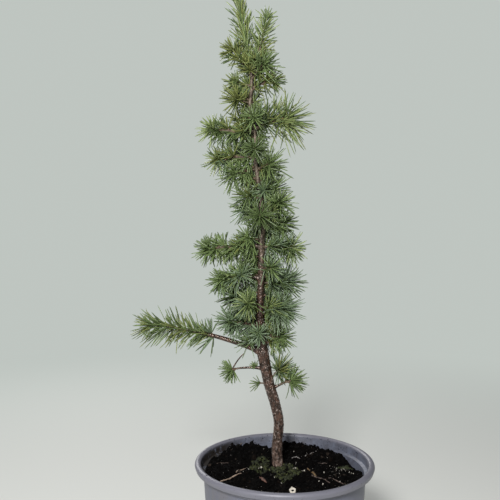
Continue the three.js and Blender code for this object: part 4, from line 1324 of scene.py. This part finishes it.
def make_moss():
    """Cushions of tiny pointed leaves over low clumps."""
    rng = np.random.default_rng(43)
    patches = np.array(MOSS, float)
    areas = patches[:, 2] * patches[:, 3]
    patches = patches[rng.choice(len(MOSS), MOSS_LEAVES["clumps"], p=areas / areas.sum())]
    away = np.sqrt(rng.random(len(patches))) * rng.uniform(*MOSS_LEAVES["ragged"], len(patches))
    places = patches[:, :2] + patches[:, 2:] * flat(away, rng.uniform(0, 2 * math.pi, len(patches)))
    finer = np.column_stack([places * MOSS_GAPS["scale"], np.full(len(places), MOSS_GAPS["level"])])
    patchy = np.array([noise.noise(Vector(place)) > MOSS_GAPS["above"] for place in finer])
    inside = np.linalg.norm(places, axis=1) < BRIM - OFF_EDGE
    places = places[clear_of_trunk(places, OFF_TRUNK["moss"]) & patchy & inside]
    centres = on_soil(places, np.full(len(places), MOSS_LEAVES["lift"]))
    sizes = rng.uniform(*MOSS_LEAVES["size"], len(centres))
    clumps = lumps(centres, sizes, rng)
    leaves = MOSS_LEAVES["leaves"]
    ways = rng.normal(size=(len(centres) * leaves, 3))
    ways = unit(ways * MOSS_LEAVES["flatter"] + MOSS_LEAVES["up"])
    bases = ways * np.repeat(sizes, leaves)[:, None] * MOSS_LEAVES["base"]
    starts = np.repeat(centres, leaves, axis=0) + bases
    lengths = rng.uniform(*MOSS_LEAVES["length"], len(starts))
    spiky = spikes(starts, ways, lengths, MOSS_LEAVES["width"])
    tones = rng.choice(len(MOSS_TONES), len(centres), p=MOSS_SHARES)
    materials = [plain_material("moss_" + str(i), MOSS_DARK * np.array(tone), tone, 500)
                 for i, tone in enumerate(MOSS_TONES)]
    part = joined([toned(clumps, np.minimum(tones, 1)), toned(spiky, tones)])
    settle(piece("moss", part, materials, smooth=False), "soil")


def make_grains():
    """Pale grains in their places, and finer pale and grey ones by chance."""
    rng = np.random.default_rng(47)
    named = np.array(PALE)
    places = scattered(GRAINS["count"], CRUMBS["reach"] - OFF_EDGE, rng)
    strewn = STREWN["middle"] + rng.normal(0, 1, (STREWN["count"], 2)) * STREWN["width"]
    strewn = strewn[np.linalg.norm(strewn, axis=1) < CRUMBS["reach"] - OFF_EDGE]
    places = np.vstack([named[:, :2], places, strewn])
    more = len(places) - len(named)
    sizes = np.concatenate([PALE_SIZE * named[:, 2], rng.uniform(*GRAINS["size"], more)])
    part = lumps(on_soil(places, GRAINS["raised"][0] * sizes + GRAINS["raised"][1]), sizes, rng)
    tones = np.concatenate([np.zeros(len(named), int), rng.choice(2, more, p=GRAINS["tones"])])
    materials = [
        plain_material("pale_grain", (0.20, 0.18, 0.15), (0.56, 0.53, 0.45), 900),
        plain_material("grey_grain", (0.07, 0.065, 0.06), (0.24, 0.22, 0.20), 900),
    ]
    settle(piece("soil_grains", toned(part, tones), materials, smooth=False), "soil")


# Thin things on the soil: their course, thickness, flatness, colour and lift. A flatness of 1 is round.
LYING_SHAPE = {"points": 15, "sides": 8, "sway": 0.12, "rough": (0.88, 1.12), "span": 7, "sunk": 0.5,
               "lift": 0.6}
LYING = (
    ("grey_twig", ((10.8, 34.3), (20, 40.5), (29, 50), (37.5, 56.3)), 0.55, 1, ("grey", 1.4)),
    ("short_twig", ((8.3, 28.3), (12, 29.5), (17.5, 28.3)), 0.5, 1, ("grey", 0.9)),
    ("brown_twig", ((-62.5, -30.5), (-56, -22.5), (-50, -15), (-43, -10.6)), 0.75, 1, ("tan", 1.0)),
    ("curved_fibre", ((-47.8, -7), (-46, -1), (-43.2, 2.3), (-38.5, 8.4)), 0.5, 1, ("tan", 1.2)),
    ("upright_fibre", ((-46, 53), (-45.4, 60), (-43, 71)), 0.35, 1, ("tan", 1.6)),
    ("root", ((26, -12), (31, -18), (36, -23.5), (42.3, -30.5)), 0.6, 1, ("brown", 0.8)),
    ("root_end", ((43.5, -7.5), (49, -12), (56.4, -18.5)), 0.55, 1, ("brown", 0.8)),
    ("far_fibre", ((-68, 14), (-62, 18), (-55, 16.5)), 0.3, 1, ("brown", 1.2)),
    ("ochre_leaf", ((24.0, 11.5), (26.5, 5), (29.5, -3), (30.2, -13.5)), 1.9, 0.2, ("ochre", 1.3)),
    ("red_flake", ((-24.8, -18), (-22, -25), (-18.6, -32.5)), 2.2, 0.22, ("rust", 1.0)),
    ("dark_flake", ((36, 20), (40, 24), (45, 22)), 1.4, 0.25, ("brown", 0.8)),
)
LYING_TONES = {
    "grey": ((0.09, 0.08, 0.075), (0.22, 0.20, 0.19)),
    "tan": ((0.15, 0.10, 0.07), (0.38, 0.28, 0.21)),
    "brown": ((0.03, 0.02, 0.015), (0.105, 0.070, 0.055)),
    "ochre": ((0.05, 0.03, 0.010), (0.19, 0.105, 0.028)),
    "rust": ((0.035, 0.016, 0.010), (0.15, 0.068, 0.045)),
}
# A pale chip with a hole in it, leaning on the soil: its corners and hole in its own plane, and its place.
CHIP = {
    "corners": ((-3.2, 0.6), (-0.6, 3.4), (3.3, 1.3), (2.3, -3.2), (-2.1, -2.6)),
    "hole": (0.2, -0.2, 1.25, 0.8),
    "thick": 0.9,
    "place": (5.2, -49.5, 2.6),
    "tilt": 58,
    "points": 20,
}


def smooth_course(points, shares):
    """A smooth course through a few points, at shares of its length."""
    knots = np.linspace(0, 1, len(points))
    degree = min(3, len(points) - 1)
    return np.stack([np.polyval(np.polyfit(knots, side, degree), shares) for side in zip(*points)], axis=1)


# How thin the ends of flakes and twigs are, as shares of their middle.
FLAKE_END = 0.25
TWIG_END = 0.55


def tapered(shares, flatness):
    """How wide a thin thing is along it: a flake narrows at both its ends, and a twig towards the far one."""
    if flatness < 1:
        return FLAKE_END + (1 - FLAKE_END) * np.sin(math.pi * np.clip(shares, 0.03, 0.97))
    return TWIG_END + (1 - TWIG_END) * np.sin(math.pi * np.clip(shares * 0.8 + 0.2, 0, 1))


def make_lying():
    """Twigs, roots, fibres and flakes."""
    rng = np.random.default_rng(53)
    count, sides, span = LYING_SHAPE["points"], LYING_SHAPE["sides"], LYING_SHAPE["span"]
    shares = np.linspace(0, 1, count)
    x, y = circle(sides)
    parts = []
    for _, points, radius, flatness, (tone, lift) in LYING:
        course = smooth_course(points, shares) + rng.normal(0, LYING_SHAPE["sway"], (count, 2))
        heights = np.array([soil_top(*place) for place in course])
        even = np.convolve(np.pad(heights, span // 2, mode="edge"), np.ones(span) / span, mode="valid")
        lying = np.maximum(even, heights - LYING_SHAPE["sunk"]) + radius * flatness
        lying = lying + lift * LYING_SHAPE["lift"]
        oval = 1 / np.hypot(x, y / flatness)
        radii = radius * tapered(shares, flatness)[:, None] * oval
        radii = radii * rng.uniform(*LYING_SHAPE["rough"], (count, sides))
        corners, faces, slots = tube(np.column_stack([course, lying]), radii, sides)
        parts.append((corners, faces, slots + list(LYING_TONES).index(tone)))
    materials = [plain_material("litter_" + tone, *tones, 700) for tone, tones in LYING_TONES.items()]
    settle(piece("soil_litter", joined(parts), materials), "soil")


def make_chip():
    """The chip: a rim and a hole, joined through its thickness, tilted on the soil."""
    count = CHIP["points"]
    outline = np.array([*CHIP["corners"], CHIP["corners"][0]])
    steps = np.linspace(0, len(outline) - 1, count + 1)[:-1]
    rim = np.stack([np.interp(steps, np.arange(len(outline)), side) for side in outline.T], axis=1)
    angles = np.arctan2(rim[:, 1], rim[:, 0])
    rim, angles = rim[np.argsort(angles)], np.sort(angles)
    x, y, wide, high = CHIP["hole"]
    hole = np.stack([x + wide * np.cos(angles), y + high * np.sin(angles)], axis=1)
    half = CHIP["thick"] / 2
    sides = ((rim, half), (rim, -half), (hole, -half), (hole, half))
    corners = np.vstack([np.column_stack([ring, np.full(count, height)]) for ring, height in sides])
    sine, cosine = math.sin(math.radians(CHIP["tilt"])), math.cos(math.radians(CHIP["tilt"]))
    place_x, place_y, lift = CHIP["place"]
    corners = corners @ np.array([[1, 0, 0], [0, cosine, sine], [0, -sine, cosine]])
    corners = corners + [place_x, place_y, soil_top(place_x, place_y) + lift]
    quads = ring_quads(len(sides) + 1, count)[:, [0, 3, 2, 1]] % len(corners)
    material = plain_material("pale_chip", (0.30, 0.27, 0.22), (0.58, 0.53, 0.45), 600)
    made = piece("pale_chip", (corners, [quads], np.zeros(len(quads), int)), [material])
    rounded(made, 0.2)
    settle(made, "soil")


# Specks of soil on the pot: the turn, radius, height and size of each.
SPECKS = (
    (209.9, 86.4, 129.7, 1.1), (131.6, 85.6, 130.0, 0.9), (39.7, 81.9, 124.3, 0.9),
    (38.2, 80.8, 120.0, 0.8), (27.7, 81.7, 119.6, 0.9), (216, 86.0, 129.9, 0.6), (22, 82.3, 126.5, 0.6),
    (118, 82.5, 127.5, 0.9), (104, 82.4, 126.2, 0.8), (112, 82.2, 124.4, 0.9),
)
# More of them, by a seed, on the inner wall, which widens from one height by a step up to the rim.
WALL_SPECKS = {"count": 150, "turns": (20, 190), "heights": (119, 129), "size": (0.25, 0.75), "low": 1.6,
               "radius": 81.9, "step": 0.9, "step_from": 121, "step_height": 5.5}


def make_specks():
    """The named specks and the seeded ones."""
    rng = np.random.default_rng(59)
    count, (low, high) = WALL_SPECKS["count"], WALL_SPECKS["heights"]
    heights = low + (high - low) * rng.random(count) ** WALL_SPECKS["low"]
    shares = np.clip((heights - WALL_SPECKS["step_from"]) / WALL_SPECKS["step_height"], 0, 1)
    radii = WALL_SPECKS["radius"] + WALL_SPECKS["step"] * shares
    turns = rng.uniform(*WALL_SPECKS["turns"], count)
    strewn = np.stack([turns, radii, heights, rng.uniform(*WALL_SPECKS["size"], count)], axis=1)
    turns, radii, heights, sizes = np.vstack([SPECKS, strewn]).T
    places = np.column_stack([flat(radii, np.radians(turns)), heights])
    material = soil_material("specks", *SOIL_TONES[0])
    settle(piece("pot_specks", lumps(places, sizes, rng), [material], smooth=False), "soil")


make_soil()
make_crumbs()
make_moss()
make_grains()
make_lying()
make_chip()
make_specks()


# The floor, which fades into the backdrop's colour between two distances in metres, and the lights: their
# place, size and strength.
BACKDROP = (0.52, 0.56, 0.53)
FADE = (0.25, 1.3)
FLOOR_HALF = 60000.0
FILL = {"colour": (0.96, 0.98, 1.0), "strength": 0.22}
LIT = (0, 0, 0.33)
LIGHTS = {"key": ((-0.22, -1.05, 0.76), 0.2, 19), "rear": ((-0.6, 1.3, 0.9), 0.8, 10)}


def make_floor():
    """A wide floor, whose far part glows in the backdrop's colour."""
    look = new_look("floor", (0.74, 0.75, 0.71), 0.9)
    look.bump(look.texture(3, Detail=2.0), 0.001, 0.1)
    away = look.node("VectorMath", look.place(), operation="LENGTH")
    fade = look.node("MapRange", away, *FADE, interpolation_type="SMOOTHSTEP")
    shader = look.tree.nodes["Principled BSDF"].outputs["BSDF"]
    look.surface(look.node("MixShader", fade, shader, look.node("Emission", BACKDROP)))
    corners = FLOOR_HALF * np.array([[-1, -1, 0], [1, -1, 0], [1, 1, 0], [-1, 1, 0]])
    part = (corners, [np.array([[0, 1, 2, 3]])], np.zeros(1, int))
    piece("floor", part, [look.owner], smooth=False)


def make_world():
    """The camera sees the backdrop's colour, and a dim, even light fills the shadows."""
    world = bpy.data.worlds.new("world")
    look = Look(world)
    seen = look.node("Background", BACKDROP)
    fill = look.node("Background", FILL["colour"], FILL["strength"])
    look.surface(look.node("MixShader", look.node("LightPath"), fill, seen))
    bpy.context.scene.world = world


def make_lights():
    for name, (place, size, energy) in LIGHTS.items():
        data = bpy.data.lights.new(name, "AREA")
        data.size = size
        data.energy = energy
        light = placed(name, data)
        light.location = place
        light.rotation_euler = (Vector(LIT) - Vector(place)).to_track_quat("-Z", "Y").to_euler()


make_floor()
make_world()
make_lights()
bpy.context.scene.view_settings.view_transform = "Standard"
